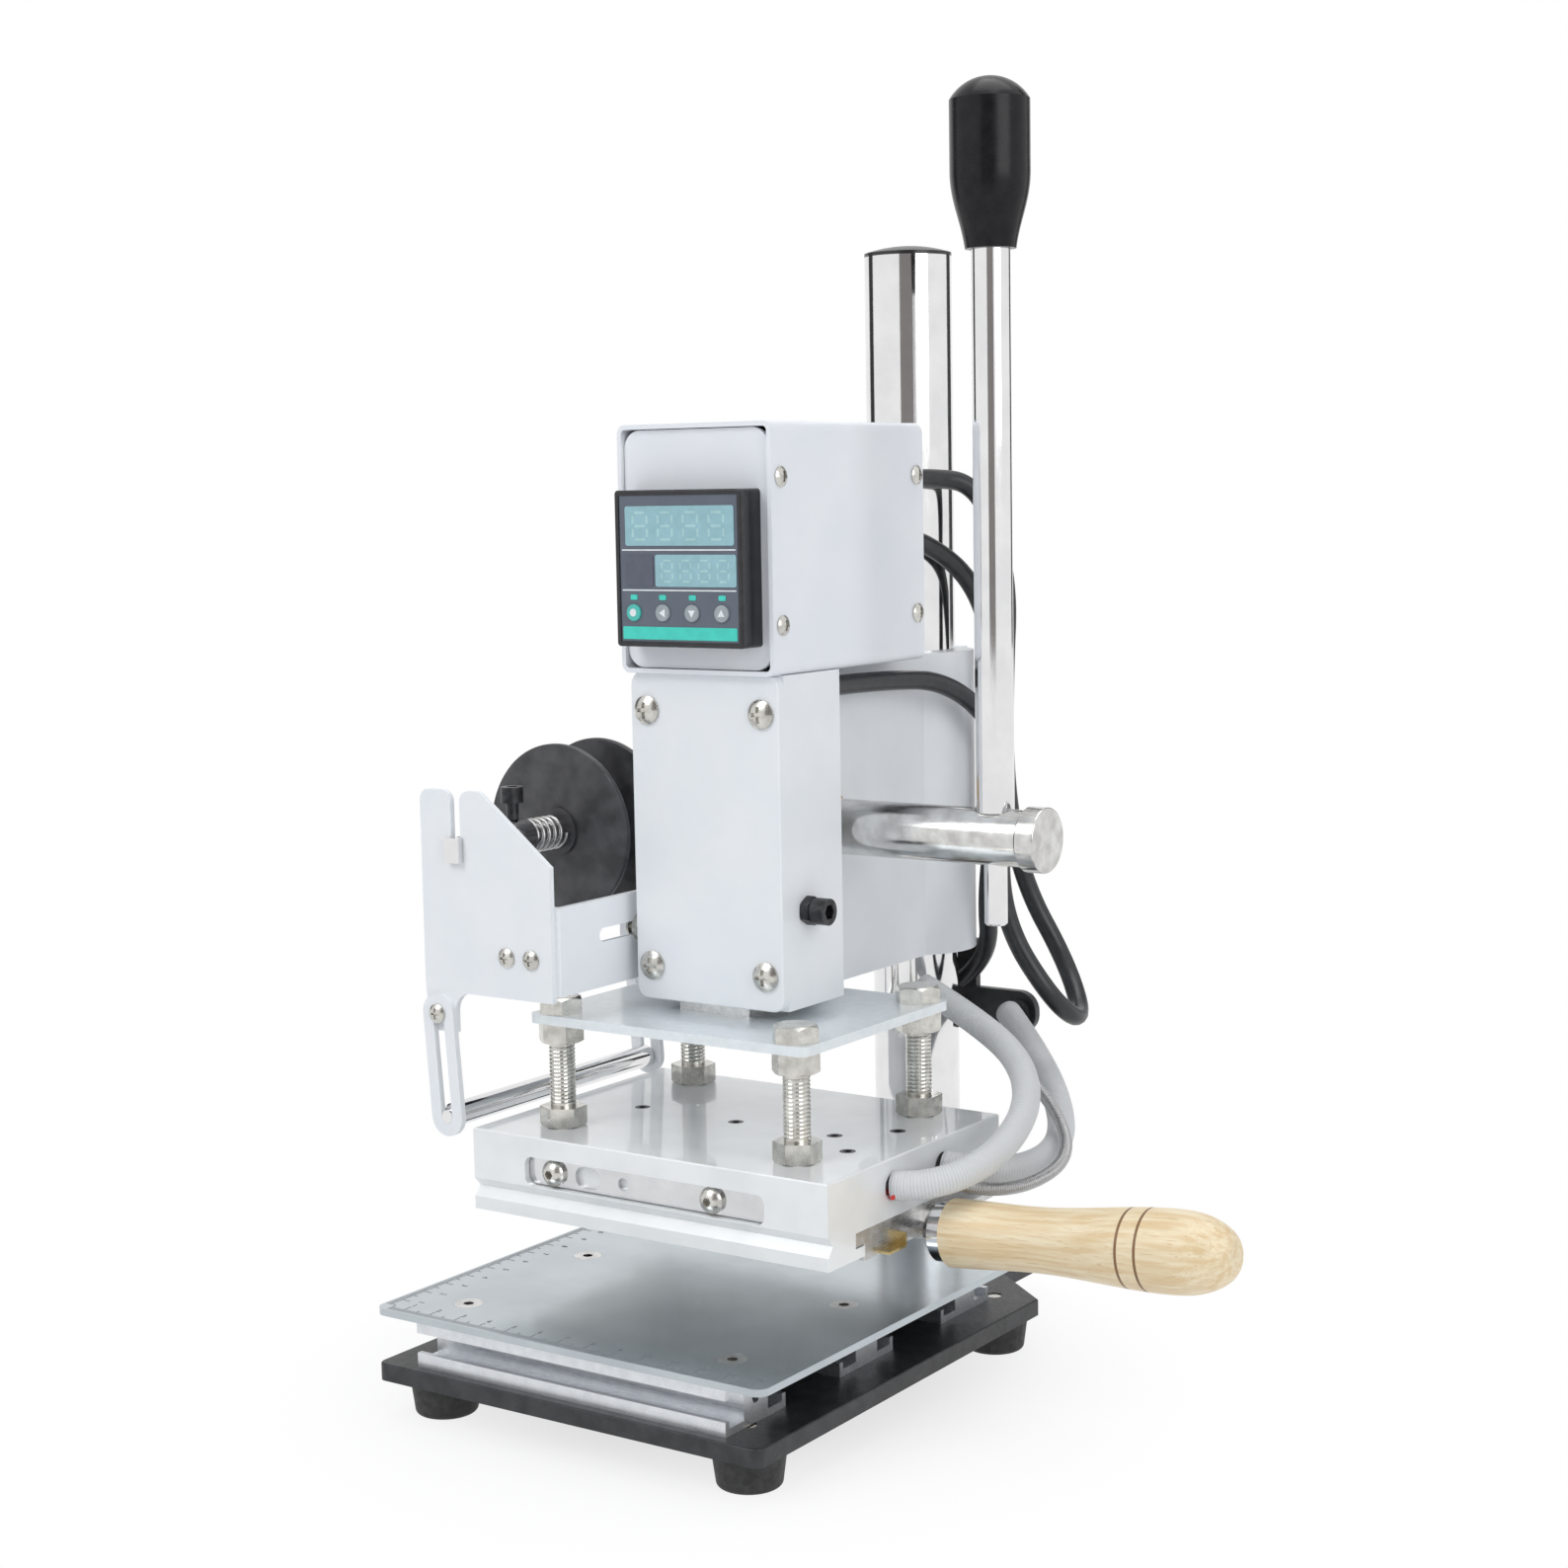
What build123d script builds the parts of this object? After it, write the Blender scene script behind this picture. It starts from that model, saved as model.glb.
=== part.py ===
from build123d import *
import math
import os

os.makedirs("parts", exist_ok=True)

# Frame: +X right, +Y back, +Z up; the origin is the middle of the four feet, on the ground.

# Fits and clearances
running_gap = 0.05
free_gap = 0.3
edge_round = 0.6

# Feet and base plate
foot_pitch_x = 115.0
foot_pitch_y = 141.0
foot_height = 12.0
foot_top_r = 11.2
foot_bottom_r = 9.6
foot_round = 1.6
foot_screw_r = 2.5
foot_screw_head_r = 4.6
foot_screw_head_height = 2.2
base_half_width = 71.8
base_front = 86.0
base_side_end = 74.5
base_tail_start = 93.5
base_tail_half_width = 48.0
base_tail_end = 146.0
base_thick = 5.5
base_corner_r = 3.0
base_tail_corner_r = 12.0
base_bottom = foot_height
base_top = base_bottom + base_thick

# Table and its rails
rail_count = 3
rail_pitch = 59.0
rail_first_y = -67.5
rail_half_length = 58.0
rail_width = 30.0
rail_height = 15.0
rail_web = 12.0
rail_flange = 2.2
rail_lip = 1.8
rail_lip_height = 4.4
rail_port_r = 1.7
table_half_width = 72.8
table_front = 85.5
table_back = 68.5
table_thick = 2.2
table_corner_r = 4.0
table_screw_x = 50.0
table_screw_r = 2.5
table_screw_head_r = 4.6
rail_screw_x = 30.0
screw_bite = 8.0
rail_top = base_top + rail_height
table_top = rail_top + table_thick

# Post
post_y = 117.5
post_r = 14.9
post_wall = 3.0
post_top = 361.0
post_plug_length = 24.0
post_bolt_r = 5.0
post_bolt_head_r = 8.0
post_bolt_head_height = 5.0
post_washer_r = 10.0
post_washer_thick = 1.6
cap_rise = 3.6
cap_rim = 1.2
cap_stem = 12.0

# Slide body: housing, arm and boss
body_bottom = 122.6
body_top = 226.6
housing_half_width = 28.2
housing_front = -6.5
housing_back = 27.5
cover_thick = 3.0
cover_corner_r = 4.0
cover_screw_x = 21.8
cover_screw_low = 133.5
cover_screw_high = 214.8
cover_screw_r = 2.0
arm_half_width = 14.0
boss_r = 21.3
ear_half_width = 8.0
ear_back = 142.0
clamp_split = 2.4
clamp_screw_r = 2.5
clamp_screw_low = 148.0
clamp_screw_high = 202.0

# Ram, rack and pinion
gear_module = 1.0
pressure_angle = 20.0
pinion_teeth = 24
tooth_backlash = 0.12
tooth_root_factor = 1.25
pinion_y = 39.5
pinion_z = 175.0
pinion_half_width = 6.0
ram_half_width = 14.0
ram_front = -3.2
ram_back = 24.0
ram_bottom = 119.3
ram_height = 96.0
rack_low_teeth = 3
rack_high_teeth = 9
gib_thick = 2.0
shaft_r = 8.9
journal_r = 6.0
bush_wall = 4.2
bush_length = 7.6
hub_end = 88.4
hub_cap_r = 10.2
hub_cap_length = 7.2
hub_cap_step = 3.0
retainer_r = 10.0
retainer_length = 6.0
gib_screw_y = 7.0
gib_screw_z = 153.0
gib_screw_r = 2.5
gib_nut_flats = 8.0
gib_nut_thick = 3.2
gib_head_r = 4.2
gib_head_length = 5.0

# Lever
lever_x = 77.2
lever_r = 6.0
lever_foot_r = 3.6
lever_foot_z = 147.5
lever_flat = 1.0
grip_bottom = 354.0
grip_low_r = 7.8
grip_r = 12.2
grip_taper_top = 377.0
grip_top = 405.0
grip_dome = 7.0
grip_sink = 30.0

# Hanging plate, bolts and heating block
plate_half_width = 52.8
plate_front = 32.0
plate_back = 52.0
plate_thick = 3.0
plate_corner_r = 3.0
bolt_x = 45.0
bolt_front_y = -25.0
bolt_back_y = 45.0
bolt_r = 4.0
bolt_head_flats = 13.0
bolt_head_height = 5.3
bolt_tip_depth = 10.0
nut_height = 6.4
bolt_turn = 12.0
plate_nut_turn = 20.0
block_nut_turn = 35.0
block_half_width = 67.5
block_front = 43.0
block_back = 57.0
block_top = 82.7
block_bottom = 56.5
block_round = 0.8
groove_depth = 2.5
groove_top = 66.6
groove_apex = 63.7
groove_low = 60.6
pocket_left = 46.6
pocket_right = 45.0
pocket_top = 76.2
pocket_bottom = 67.0
pocket_depth = 4.0
pocket_corner_r = 3.0
latch_thick = 1.6
latch_slot_x = -23.2
latch_slot_length = 10.0
latch_slot_width = 7.0
latch_hole_x = -9.3
latch_hole_r = 2.0
latch_screw_left_x = -36.3
latch_screw_right_x = 24.6
latch_screw_head_r = 4.2
latch_screw_head_height = 3.4
latch_screw_socket_r = 1.5
heater_r = 4.0
heater_pitch = 29.0
heater_z = 74.0
heater_length = 118.0
heater_set_back = 1.0
set_screw_r = 2.5
set_screw_length = 4.0
set_screw_outer_x = 37.6
set_screw_outer_y = 6.6
set_screw_middle = (0.6, 5.6)
set_screw_clamp_x = 51.5
ram_screw_r = 2.5
ram_screw_pitch = 14.0
ram_screw_length = 14.0
ram_screw_head_r = 4.2
ram_screw_head_height = 3.0

# Die tray and its handle
tray_half_width = 35.0
tray_neck_half_width = 30.0
tray_y = 7.0
tray_left = -62.0
tray_right = 67.0
tray_top = 64.2
tray_step = 60.0
tray_bottom = 54.8
tray_gap = 0.3
tang_width = 8.0
tang_thick = 3.0
handle_tilt = 4.2
handle_start = 73.4
ferrule_r = 9.0
ferrule_front_r = 7.0
ferrule_length = 7.0
ferrule_wall = 0.8
handle_length = 93.0
handle_shoulder_r = 10.4
handle_waist_r = 9.8
handle_waist_at = 32.0
handle_swell_r = 12.3
handle_swell_at = 74.0
handle_tail_r = 10.3
handle_tail_at = 86.0
handle_nose_r = 4.5
handle_groove_r = 0.8
handle_groove_places = [60.4, 66.6]
handle_sink = 5.0
clip_length = 10.0
clip_height = 4.6
clip_thick = 0.8
clip_y = -4.0
end_tab_front = 17.5
end_tab_back = 41.0
end_tab_reach = 7.0
end_tab_thick = 2.0
end_tab_hole_r = 1.25

# Foil holder
holder_left = -87.0
holder_right = -34.5
holder_front = -41.5
holder_back = 62.0
holder_thick = 2.0
holder_top = 190.4
holder_shoulder = 168.2
holder_bottom = 125.5
holder_tongue_bottom = 112.5
holder_tongue_left = -86.0
holder_tongue_right = -74.5
holder_prong_right = -62.4
holder_corner_r = 3.0
holder_prong_round = 3.6
holder_inner_round = 6.0
reel_x = -72.4
reel_z = 171.5
reel_shaft_r = 4.0
reel_slot_width = 3.8
reel_neck_width = 3.6
cross_top = 155.5
cross_bottom = 127.5
cross_slot_z = 144.0
cross_slot_front = -20.0
cross_slot_back = 24.0
cross_slot_width = 4.4
cross_screw_front = 1.0
cross_screw_back = 19.5
cross_screw_r = 2.0
cross_spacer_r = 4.5
tab_length = 20.0
tab_screw_left = -52.6
tab_screw_right = -42.7
tab_screw_z = 138.6
guide_arm_width = 12.6
guide_arm_top = 123.5
guide_arm_pivot_z = 118.5
guide_arm_pivot_x = -80.5
guide_slot_width = 4.4
guide_bar_x = -78.0
guide_bar_z = 85.0
guide_bar_r = 3.9
flange_r = 29.0
flange_thick = 2.0
front_flange_y = 9.5
rear_flange_y = 31.5
flange_hub_r = 8.0
flange_hub_length = 3.0
core_r = 12.5
collar_r = 6.4
collar_front = -19.0
collar_length = 11.0
thumb_screw_r = 2.0
thumb_screw_head_r = 3.6
thumb_screw_head_height = 5.2
thumb_screw_rise = 5.6
spring_wire_r = 0.6
spring_r = 5.2
spring_turns = 5

# Controller box
box_half_width = 29.0
box_front = -9.5
box_back = 78.0
box_bottom = body_top
box_height = 77.0
box_wall = 1.5
box_corner_r = 3.0
panel_inset = 1.4
panel_thick = 1.5
panel_corner_r = 6.0
panel_gap = 0.25
box_screw_front = -4.6
box_screw_back = 73.6
box_screw_low = box_bottom + 15.4
box_screw_high = box_bottom + 60.2
controller_z = box_bottom + 32.9
bezel_half = 24.0
bezel_front = -18.2
bezel_corner_r = 1.2
bezel_rim = 1.6
face_sink = 0.8
case_half = 22.4
case_length = 52.0
button_z = controller_z - 13.5
button_first_x = -17.2
button_pitch = 11.1
button_r = 2.6
button_flange_r = 3.1
button_flange_thick = 0.6
button_travel = 0.6
button_proud = 0.9
button_names = ["set_button", "shift_button", "down_button", "up_button"]

# Cables and leads: each route is a row of chosen points, from its first end to its last
cable_r = 3.25
heater_lead_r = 4.5
thermocouple_lead_r = 2.0
cable_bend_share = 0.45
lower_cable_route = [
    Vector(14, 78.5, 268),
    Vector(14, 102, 266),
    Vector(24, 124, 248),
    Vector(25, 134, 212),
    Vector(25, 132, 172),
    Vector(26, 122, 142),
    Vector(22, 132, 118),
    Vector(8, 135.3, 108),
]
upper_cable_route = [
    Vector(20, 28, 220.5),
    Vector(20, 62, 220.5),
    Vector(26, 100, 218),
    Vector(35, 122, 196),
    Vector(38, 110, 164),
    Vector(48, 96, 137),
    Vector(65, 98, 112),
    Vector(67, 117, 101),
    Vector(51, 135, 117),
    Vector(36, 130, 146),
    Vector(34, 122, 180),
    Vector(34, 122, 216),
    Vector(35, 124, 252),
    Vector(26, 120, 284),
    Vector(14, 102, 286),
    Vector(14, 78.5, 286),
]
front_lead_route = [
    Vector(68.2, -7.5, 74.3),
    Vector(80, -6, 75),
    Vector(90, 14, 80),
    Vector(86, 44, 89),
    Vector(70, 68, 98),
    Vector(46, 80, 107),
    Vector(22, 86, 115),
]
back_lead_route = [
    Vector(68.2, 21.5, 74),
    Vector(82, 24, 73),
    Vector(86, 50, 70),
    Vector(80, 78, 72),
    Vector(66, 98, 82),
    Vector(46, 116, 93),
    Vector(30, 130, 99),
]
thermocouple_route = [
    Vector(68.2, 7, 74),
    Vector(80, 8, 72),
    Vector(92, 26, 68),
    Vector(96, 52, 72),
    Vector(84, 68, 82),
    Vector(60, 84, 92),
    Vector(40, 100, 100),
]
cable_bracket_thick = 3.0
cable_bracket_y = 138.8
cable_bracket_half_width = 12.0
cable_bracket_top = 122.3
cable_bracket_neck = 105.0
cable_bracket_bottom = 90.0
cable_bracket_reach = 36.0
cable_bracket_screw_x = 29.5

# Small dome-headed screws
small_screw_r = 1.5
small_head_r = 3.1
small_head_height = 1.7
cross_recess_width = 0.8
dome_head_r = 4.6
dome_head_height = 2.4


def dome_point(rim_r, rim_z, top_z, share):
    """A point (r, z) of the dome whose centre is on the axis, at a share of the rim's radius."""
    rise = top_z - rim_z
    dome_r = (rim_r * rim_r + rise * rise) / (2 * rise)
    r = rim_r * share
    return (r, top_z - dome_r + math.sqrt(dome_r * dome_r - r * r))


def screw(head_r, head_height, shank_r, shank_length, socket_r=0.0, cross_width=0.0):
    """A dome-headed screw on the Z axis: its head's seat is at z = 0 and its shank runs down."""
    with BuildPart() as body:
        with BuildSketch(Plane.XZ):
            with BuildLine():
                Line((0, -shank_length), (shank_r, -shank_length))
                Line((shank_r, -shank_length), (shank_r, 0))
                Line((shank_r, 0), (head_r, 0))
                Line((head_r, 0), (head_r, head_height / 3))
                ThreePointArc(
                    (head_r, head_height / 3),
                    dome_point(head_r, head_height / 3, head_height, 0.5),
                    (0, head_height),
                )
                Line((0, head_height), (0, -shank_length))
            make_face()
        revolve(axis=Axis.Z)
        if socket_r > 0:
            with BuildSketch(Plane.XY.offset(head_height)):
                RegularPolygon(socket_r, 6)
            extrude(amount=-head_height * 0.6, mode=Mode.SUBTRACT)
        if cross_width > 0:
            with BuildSketch(Plane.XY.offset(head_height)):
                Rectangle(head_r * 1.1, cross_width)
                Rectangle(cross_width, head_r * 1.1)
            extrude(amount=-head_height * 0.55, mode=Mode.SUBTRACT)
    return body.part


def hex_nut(flats, height, hole_r):
    """A hexagon nut that stands on z = 0, with chamfered corners at both faces."""
    with BuildPart() as nut:
        with BuildSketch(Plane.XY):
            RegularPolygon(flats / 2, 6, major_radius=False)
            Circle(hole_r, mode=Mode.SUBTRACT)
        extrude(amount=height)
        with BuildSketch(Plane.XZ):
            with BuildLine():
                Polyline(
                    (flats / 2, 0),
                    (flats, 0),
                    (flats, flats / 2 * math.tan(math.radians(30))),
                    (flats / 2, 0),
                )
            make_face()
        revolve(axis=Axis.Z, mode=Mode.SUBTRACT)
    return nut.part


def placed(piece, locations):
    """Copies of one piece at each location, as one group of separate solids."""
    with BuildPart() as group:
        with Locations(*locations):
            add(piece)
    return group.part


def involute_half_angle(radius, pitch_r, teeth):
    """Half the angle that one tooth fills at a radius, seen from the gear's axis."""
    base_r = pitch_r * math.cos(math.radians(pressure_angle))
    at_pitch = math.pi / (2 * teeth) - tooth_backlash / (2 * pitch_r)
    flank = math.radians(pressure_angle)
    at_pitch += math.tan(flank) - flank
    if radius <= base_r:
        return at_pitch
    local = math.acos(base_r / radius)
    return at_pitch - (math.tan(local) - local)


# Feet: tapered rubber cones with a countersunk seat for their screws
foot_places = [
    (side * foot_pitch_x / 2, end * foot_pitch_y / 2) for side in (-1, 1) for end in (-1, 1)
]
with BuildPart() as one_foot:
    with BuildSketch(Plane.XY):
        Circle(foot_bottom_r)
    with BuildSketch(Plane.XY.offset(foot_height)):
        Circle(foot_top_r)
    loft()
    fillet(one_foot.edges().group_by(Axis.Z)[0], radius=foot_round)
    with Locations(Location((0, 0, 0), (180, 0, 0))):
        CounterBoreHole(
            radius=foot_screw_r + running_gap,
            counter_bore_radius=foot_screw_head_r + free_gap,
            counter_bore_depth=foot_height / 2,
        )
rubber_feet = placed(one_foot.part, [Location((x, y, 0)) for x, y in foot_places])
rubber_feet.label = "rubber_feet"
export_step(rubber_feet, "parts/rubber_feet.step")

# One kind of screw holds the feet and, through the base plate, the rails
rail_places = [rail_first_y + rail_pitch * index for index in range(rail_count)]
rail_screw_places = [(side * rail_screw_x, y) for side in (-1, 1) for y in rail_places]
base_screw_length = foot_height / 2 + base_thick - free_gap
base_screw = screw(
    foot_screw_head_r, foot_screw_head_height, foot_screw_r, base_screw_length, cross_width=cross_recess_width
)
base_screws = placed(
    base_screw,
    [Location((x, y, foot_height / 2), (180, 0, 0)) for x, y in foot_places]
    + [Location((x, y, base_bottom), (180, 0, 0)) for x, y in rail_screw_places],
)
base_screws.label = "base_screws"
export_step(base_screws, "parts/base_screws.step")

# Base plate: a wide front that narrows to the tail under the post
with BuildPart() as base_plate:
    with BuildSketch(Plane.XY.offset(base_bottom)):
        with BuildLine():
            Polyline(
                (-base_half_width, -base_front),
                (base_half_width, -base_front),
                (base_half_width, base_side_end),
                (base_tail_half_width, base_tail_start),
                (base_tail_half_width, base_tail_end),
                (-base_tail_half_width, base_tail_end),
                (-base_tail_half_width, base_tail_start),
                (-base_half_width, base_side_end),
                close=True,
            )
        make_face()
    extrude(amount=base_thick)
    uprights = base_plate.edges().filter_by(Axis.Z)
    fillet(uprights.group_by(Axis.Y)[-1], radius=base_tail_corner_r)
    fillet(base_plate.edges().filter_by(Axis.Z).group_by(Axis.Y)[0], radius=base_corner_r)
    fillet(base_plate.faces().sort_by(Axis.Z)[-1].outer_wire().edges(), radius=edge_round)
    with Locations(*[(x, y, base_top) for x, y in foot_places]):
        Hole(radius=foot_screw_r + running_gap)
    with Locations((0, post_y, base_top)):
        Hole(radius=post_bolt_r + running_gap)
    with Locations(*[(x, y, base_top) for x, y in rail_screw_places]):
        Hole(radius=foot_screw_r + running_gap)
base_plate.part.label = "base_plate"
export_step(base_plate.part, "parts/base_plate.step")

# Table rails: flanged sections with a thick web and a screw port
with BuildPart() as one_rail:
    with BuildSketch(Plane.YZ.offset(-rail_half_length)):
        Rectangle(rail_web, rail_height, align=(Align.CENTER, Align.MIN))
        for lip_side in (-1, 1):
            with Locations((lip_side * (rail_width - rail_lip) / 2, 0)):
                Rectangle(rail_lip, rail_lip_height, align=(Align.CENTER, Align.MIN))
            with Locations((lip_side * (rail_width - rail_lip) / 2, rail_height)):
                Rectangle(rail_lip, rail_lip_height, align=(Align.CENTER, Align.MAX))
        Rectangle(rail_width, rail_flange, align=(Align.CENTER, Align.MIN))
        with Locations((0, rail_height)):
            Rectangle(rail_width, rail_flange, align=(Align.CENTER, Align.MAX))
        with Locations((0, rail_height / 2)):
            Circle(rail_port_r, mode=Mode.SUBTRACT)
    extrude(amount=2 * rail_half_length)
    with Locations(*[(side * table_screw_x, 0, rail_height) for side in (-1, 1)]):
        Hole(radius=table_screw_r + running_gap, depth=screw_bite)
    with Locations(*[Location((side * rail_screw_x, 0, 0), (180, 0, 0)) for side in (-1, 1)]):
        Hole(radius=foot_screw_r + running_gap, depth=screw_bite)
table_rails = placed(one_rail.part, [Location((0, y, base_top)) for y in rail_places])
table_rails.label = "table_rails"
export_step(table_rails, "parts/table_rails.step")

# Work table: a thin plate with rounded corners and countersunk screws
table_screw_places = [(side * table_screw_x, y) for side in (-1, 1) for y in rail_places]
with BuildPart() as work_table:
    with BuildSketch(Plane.XY.offset(rail_top)):
        with Locations((0, (table_back - table_front) / 2)):
            RectangleRounded(2 * table_half_width, table_front + table_back, table_corner_r)
    extrude(amount=table_thick)
    with Locations(*[(x, y, table_top) for x, y in table_screw_places]):
        CounterSinkHole(
            radius=table_screw_r + running_gap,
            counter_sink_radius=table_screw_head_r + running_gap,
        )
work_table.part.label = "work_table"
export_step(work_table.part, "parts/work_table.step")

with BuildPart() as one_table_screw:
    with BuildSketch(Plane.XZ):
        with BuildLine():
            Polyline(
                (0, 0),
                (table_screw_head_r, 0),
                (table_screw_r, table_screw_r - table_screw_head_r),
                (table_screw_r, -table_thick - screw_bite + free_gap),
                (0, -table_thick - screw_bite + free_gap),
                close=True,
            )
        make_face()
    revolve(axis=Axis.Z)
    with BuildSketch(Plane.XY):
        RegularPolygon(table_screw_r * 0.7, 6)
    extrude(amount=-table_screw_r * 0.8, mode=Mode.SUBTRACT)
table_screws = placed(
    one_table_screw.part, [Location((x, y, table_top)) for x, y in table_screw_places]
)
table_screws.label = "table_screws"
export_step(table_screws, "parts/table_screws.step")

# Post: a chrome tube with a plugged foot
with BuildPart() as post:
    with BuildSketch(Plane.XY.offset(base_top)):
        with Locations((0, post_y)):
            Circle(post_r)
    extrude(amount=post_top - base_top)
    with Locations((0, post_y, post_top)):
        Hole(radius=post_r - post_wall, depth=post_top - base_top - post_plug_length)
    with Locations(Location((0, post_y, base_top), (180, 0, 0))):
        Hole(radius=post_bolt_r + running_gap, depth=post_plug_length - post_wall)
post.part.label = "post"
export_step(post.part, "parts/post.step")

cap_stem_r = post_r - post_wall - running_gap
with BuildPart() as post_cap:
    with BuildSketch(Plane.XZ.offset(-post_y)):
        with BuildLine():
            Line((0, post_top - cap_stem), (cap_stem_r, post_top - cap_stem))
            Line((cap_stem_r, post_top - cap_stem), (cap_stem_r, post_top))
            Line((cap_stem_r, post_top), (post_r, post_top))
            Line((post_r, post_top), (post_r, post_top + cap_rim))
            ThreePointArc(
                (post_r, post_top + cap_rim),
                dome_point(post_r, post_top + cap_rim, post_top + cap_rise, 0.5),
                (0, post_top + cap_rise),
            )
            Line((0, post_top + cap_rise), (0, post_top - cap_stem))
        make_face()
    revolve(axis=Axis((0, post_y, 0), (0, 0, 1)))
post_cap.part.label = "post_cap"
export_step(post_cap.part, "parts/post_cap.step")

with BuildPart() as post_bolt:
    with BuildSketch(Plane.XY.offset(base_bottom)):
        with Locations((0, post_y)):
            Circle(post_bolt_r)
    extrude(amount=base_thick + post_plug_length - post_wall - free_gap)
    with BuildSketch(Plane.XY.offset(base_bottom)):
        with Locations((0, post_y)):
            Circle(post_washer_r)
    extrude(amount=-post_washer_thick)
    with BuildSketch(Plane.XY.offset(base_bottom - post_washer_thick)):
        with Locations((0, post_y)):
            RegularPolygon(post_bolt_head_r, 6)
    extrude(amount=-post_bolt_head_height)
post_bolt.part.label = "post_bolt"
export_step(post_bolt.part, "parts/post_bolt.step")

# Slide body: the housing round the ram, an arm, and a split boss on the post
pitch_r = gear_module * pinion_teeth / 2
tip_r = pitch_r + gear_module
root_r = pitch_r - tooth_root_factor * gear_module
rack_pitch_y = pinion_y - pitch_r
rack_tip_y = rack_pitch_y + gear_module
rack_root_y = rack_pitch_y - tooth_root_factor * gear_module
channel_front = housing_front + cover_thick
channel_width = 2 * ram_half_width + gib_thick + 2 * running_gap
pinion_bore_r = tip_r + free_gap
bush_outer_r = shaft_r + bush_wall
clamp_places = [clamp_screw_low, clamp_screw_high]
ear_screw_y = (post_y + post_r + ear_back) / 2
clamp_head_r = clamp_screw_r * 1.7
cover_screw_places = [
    (side * cover_screw_x, z) for side in (-1, 1) for z in (cover_screw_low, cover_screw_high)
]
with BuildPart() as slide_body:
    with BuildSketch(Plane.XY.offset(body_bottom)):
        with Locations((0, (channel_front + housing_back) / 2)):
            Rectangle(2 * housing_half_width, housing_back - channel_front)
        with Locations((0, (housing_back + post_y) / 2)):
            Rectangle(2 * arm_half_width, post_y - housing_back)
        with Locations((0, post_y)):
            Circle(boss_r)
        with Locations((0, (post_y + ear_back) / 2)):
            Rectangle(2 * ear_half_width, ear_back - post_y)
    extrude(amount=body_top - body_bottom)
    fillet(slide_body.edges().filter_by(Axis.Z).sort_by(Axis.Y)[-2:], radius=edge_round)
    with BuildSketch(Plane.XY.offset(body_bottom)):
        with Locations((0, (channel_front + ram_back + free_gap) / 2)):
            Rectangle(channel_width, ram_back + free_gap - channel_front)
        with Locations((0, (ram_back + rack_tip_y + free_gap) / 2)):
            Rectangle(2 * (pinion_half_width + free_gap), rack_tip_y + free_gap - ram_back)
        with Locations((0, post_y)):
            Circle(post_r + running_gap)
        with Locations((0, (post_y + ear_back + free_gap) / 2)):
            Rectangle(clamp_split, ear_back + free_gap - post_y)
    extrude(amount=body_top - body_bottom, mode=Mode.SUBTRACT)
    with BuildSketch(Plane.YZ.offset(-pinion_half_width - free_gap)):
        with Locations((pinion_y, pinion_z)):
            Circle(pinion_bore_r)
    extrude(amount=arm_half_width + pinion_half_width + free_gap, mode=Mode.SUBTRACT)
    with BuildSketch(Plane.YZ.offset(-arm_half_width)):
        with Locations((pinion_y, pinion_z)):
            Circle(journal_r + running_gap)
    extrude(amount=arm_half_width, mode=Mode.SUBTRACT)
    with BuildSketch(Plane.XZ.offset(-channel_front)):
        with Locations(*cover_screw_places):
            Circle(cover_screw_r + running_gap)
    extrude(amount=-screw_bite, mode=Mode.SUBTRACT)
    with BuildSketch(Plane.YZ.offset(housing_half_width)):
        with Locations((gib_screw_y, gib_screw_z)):
            Circle(gib_screw_r + running_gap)
    extrude(amount=-(housing_half_width - ram_half_width), mode=Mode.SUBTRACT)
    with BuildSketch(Plane.YZ.offset(-ear_half_width)):
        with Locations(*[(ear_screw_y, z) for z in clamp_places]):
            Circle(clamp_screw_r + running_gap)
    extrude(amount=2 * ear_half_width, mode=Mode.SUBTRACT)
    with BuildSketch(Plane.YZ.offset(-ear_half_width)):
        with Locations(*[(ear_screw_y, z) for z in clamp_places]):
            Circle(clamp_head_r + free_gap)
    extrude(amount=-boss_r, mode=Mode.SUBTRACT)
    with BuildSketch(Plane.YZ.offset(-housing_half_width)):
        with Locations(*[(y, cross_slot_z) for y in (cross_screw_front, cross_screw_back)]):
            Circle(cross_screw_r + running_gap)
    extrude(amount=screw_bite, mode=Mode.SUBTRACT)
slide_body.part.label = "slide_body"
export_step(slide_body.part, "parts/slide_body.step")

# Front cover plate and its screws
with BuildPart() as front_cover:
    with BuildSketch(Plane.XZ.offset(-channel_front)):
        with Locations((0, (body_bottom + body_top) / 2)):
            RectangleRounded(2 * housing_half_width, body_top - body_bottom, cover_corner_r)
        with Locations(*cover_screw_places):
            Circle(cover_screw_r + running_gap, mode=Mode.SUBTRACT)
    extrude(amount=cover_thick)
    fillet(front_cover.faces().sort_by(Axis.Y)[0].outer_wire().edges(), radius=edge_round)
front_cover.part.label = "front_cover"
export_step(front_cover.part, "parts/front_cover.step")

cover_screw = screw(
    dome_head_r,
    dome_head_height,
    cover_screw_r,
    cover_thick + screw_bite - free_gap,
    cross_width=cross_recess_width * 1.5,
)
cover_screws = placed(
    cover_screw, [Location((x, housing_front, z), (90, 0, 0)) for x, z in cover_screw_places]
)
cover_screws.label = "cover_screws"
export_step(cover_screws, "parts/cover_screws.step")

clamp_screw = screw(
    clamp_head_r, clamp_screw_r * 2, clamp_screw_r, 2 * ear_half_width - free_gap, socket_r=clamp_screw_r * 0.9
)
clamp_screws = placed(
    clamp_screw, [Location((-ear_half_width, ear_screw_y, z), (0, -90, 0)) for z in clamp_places]
)
clamp_screws.label = "clamp_screws"
export_step(clamp_screws, "parts/clamp_screws.step")

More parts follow.
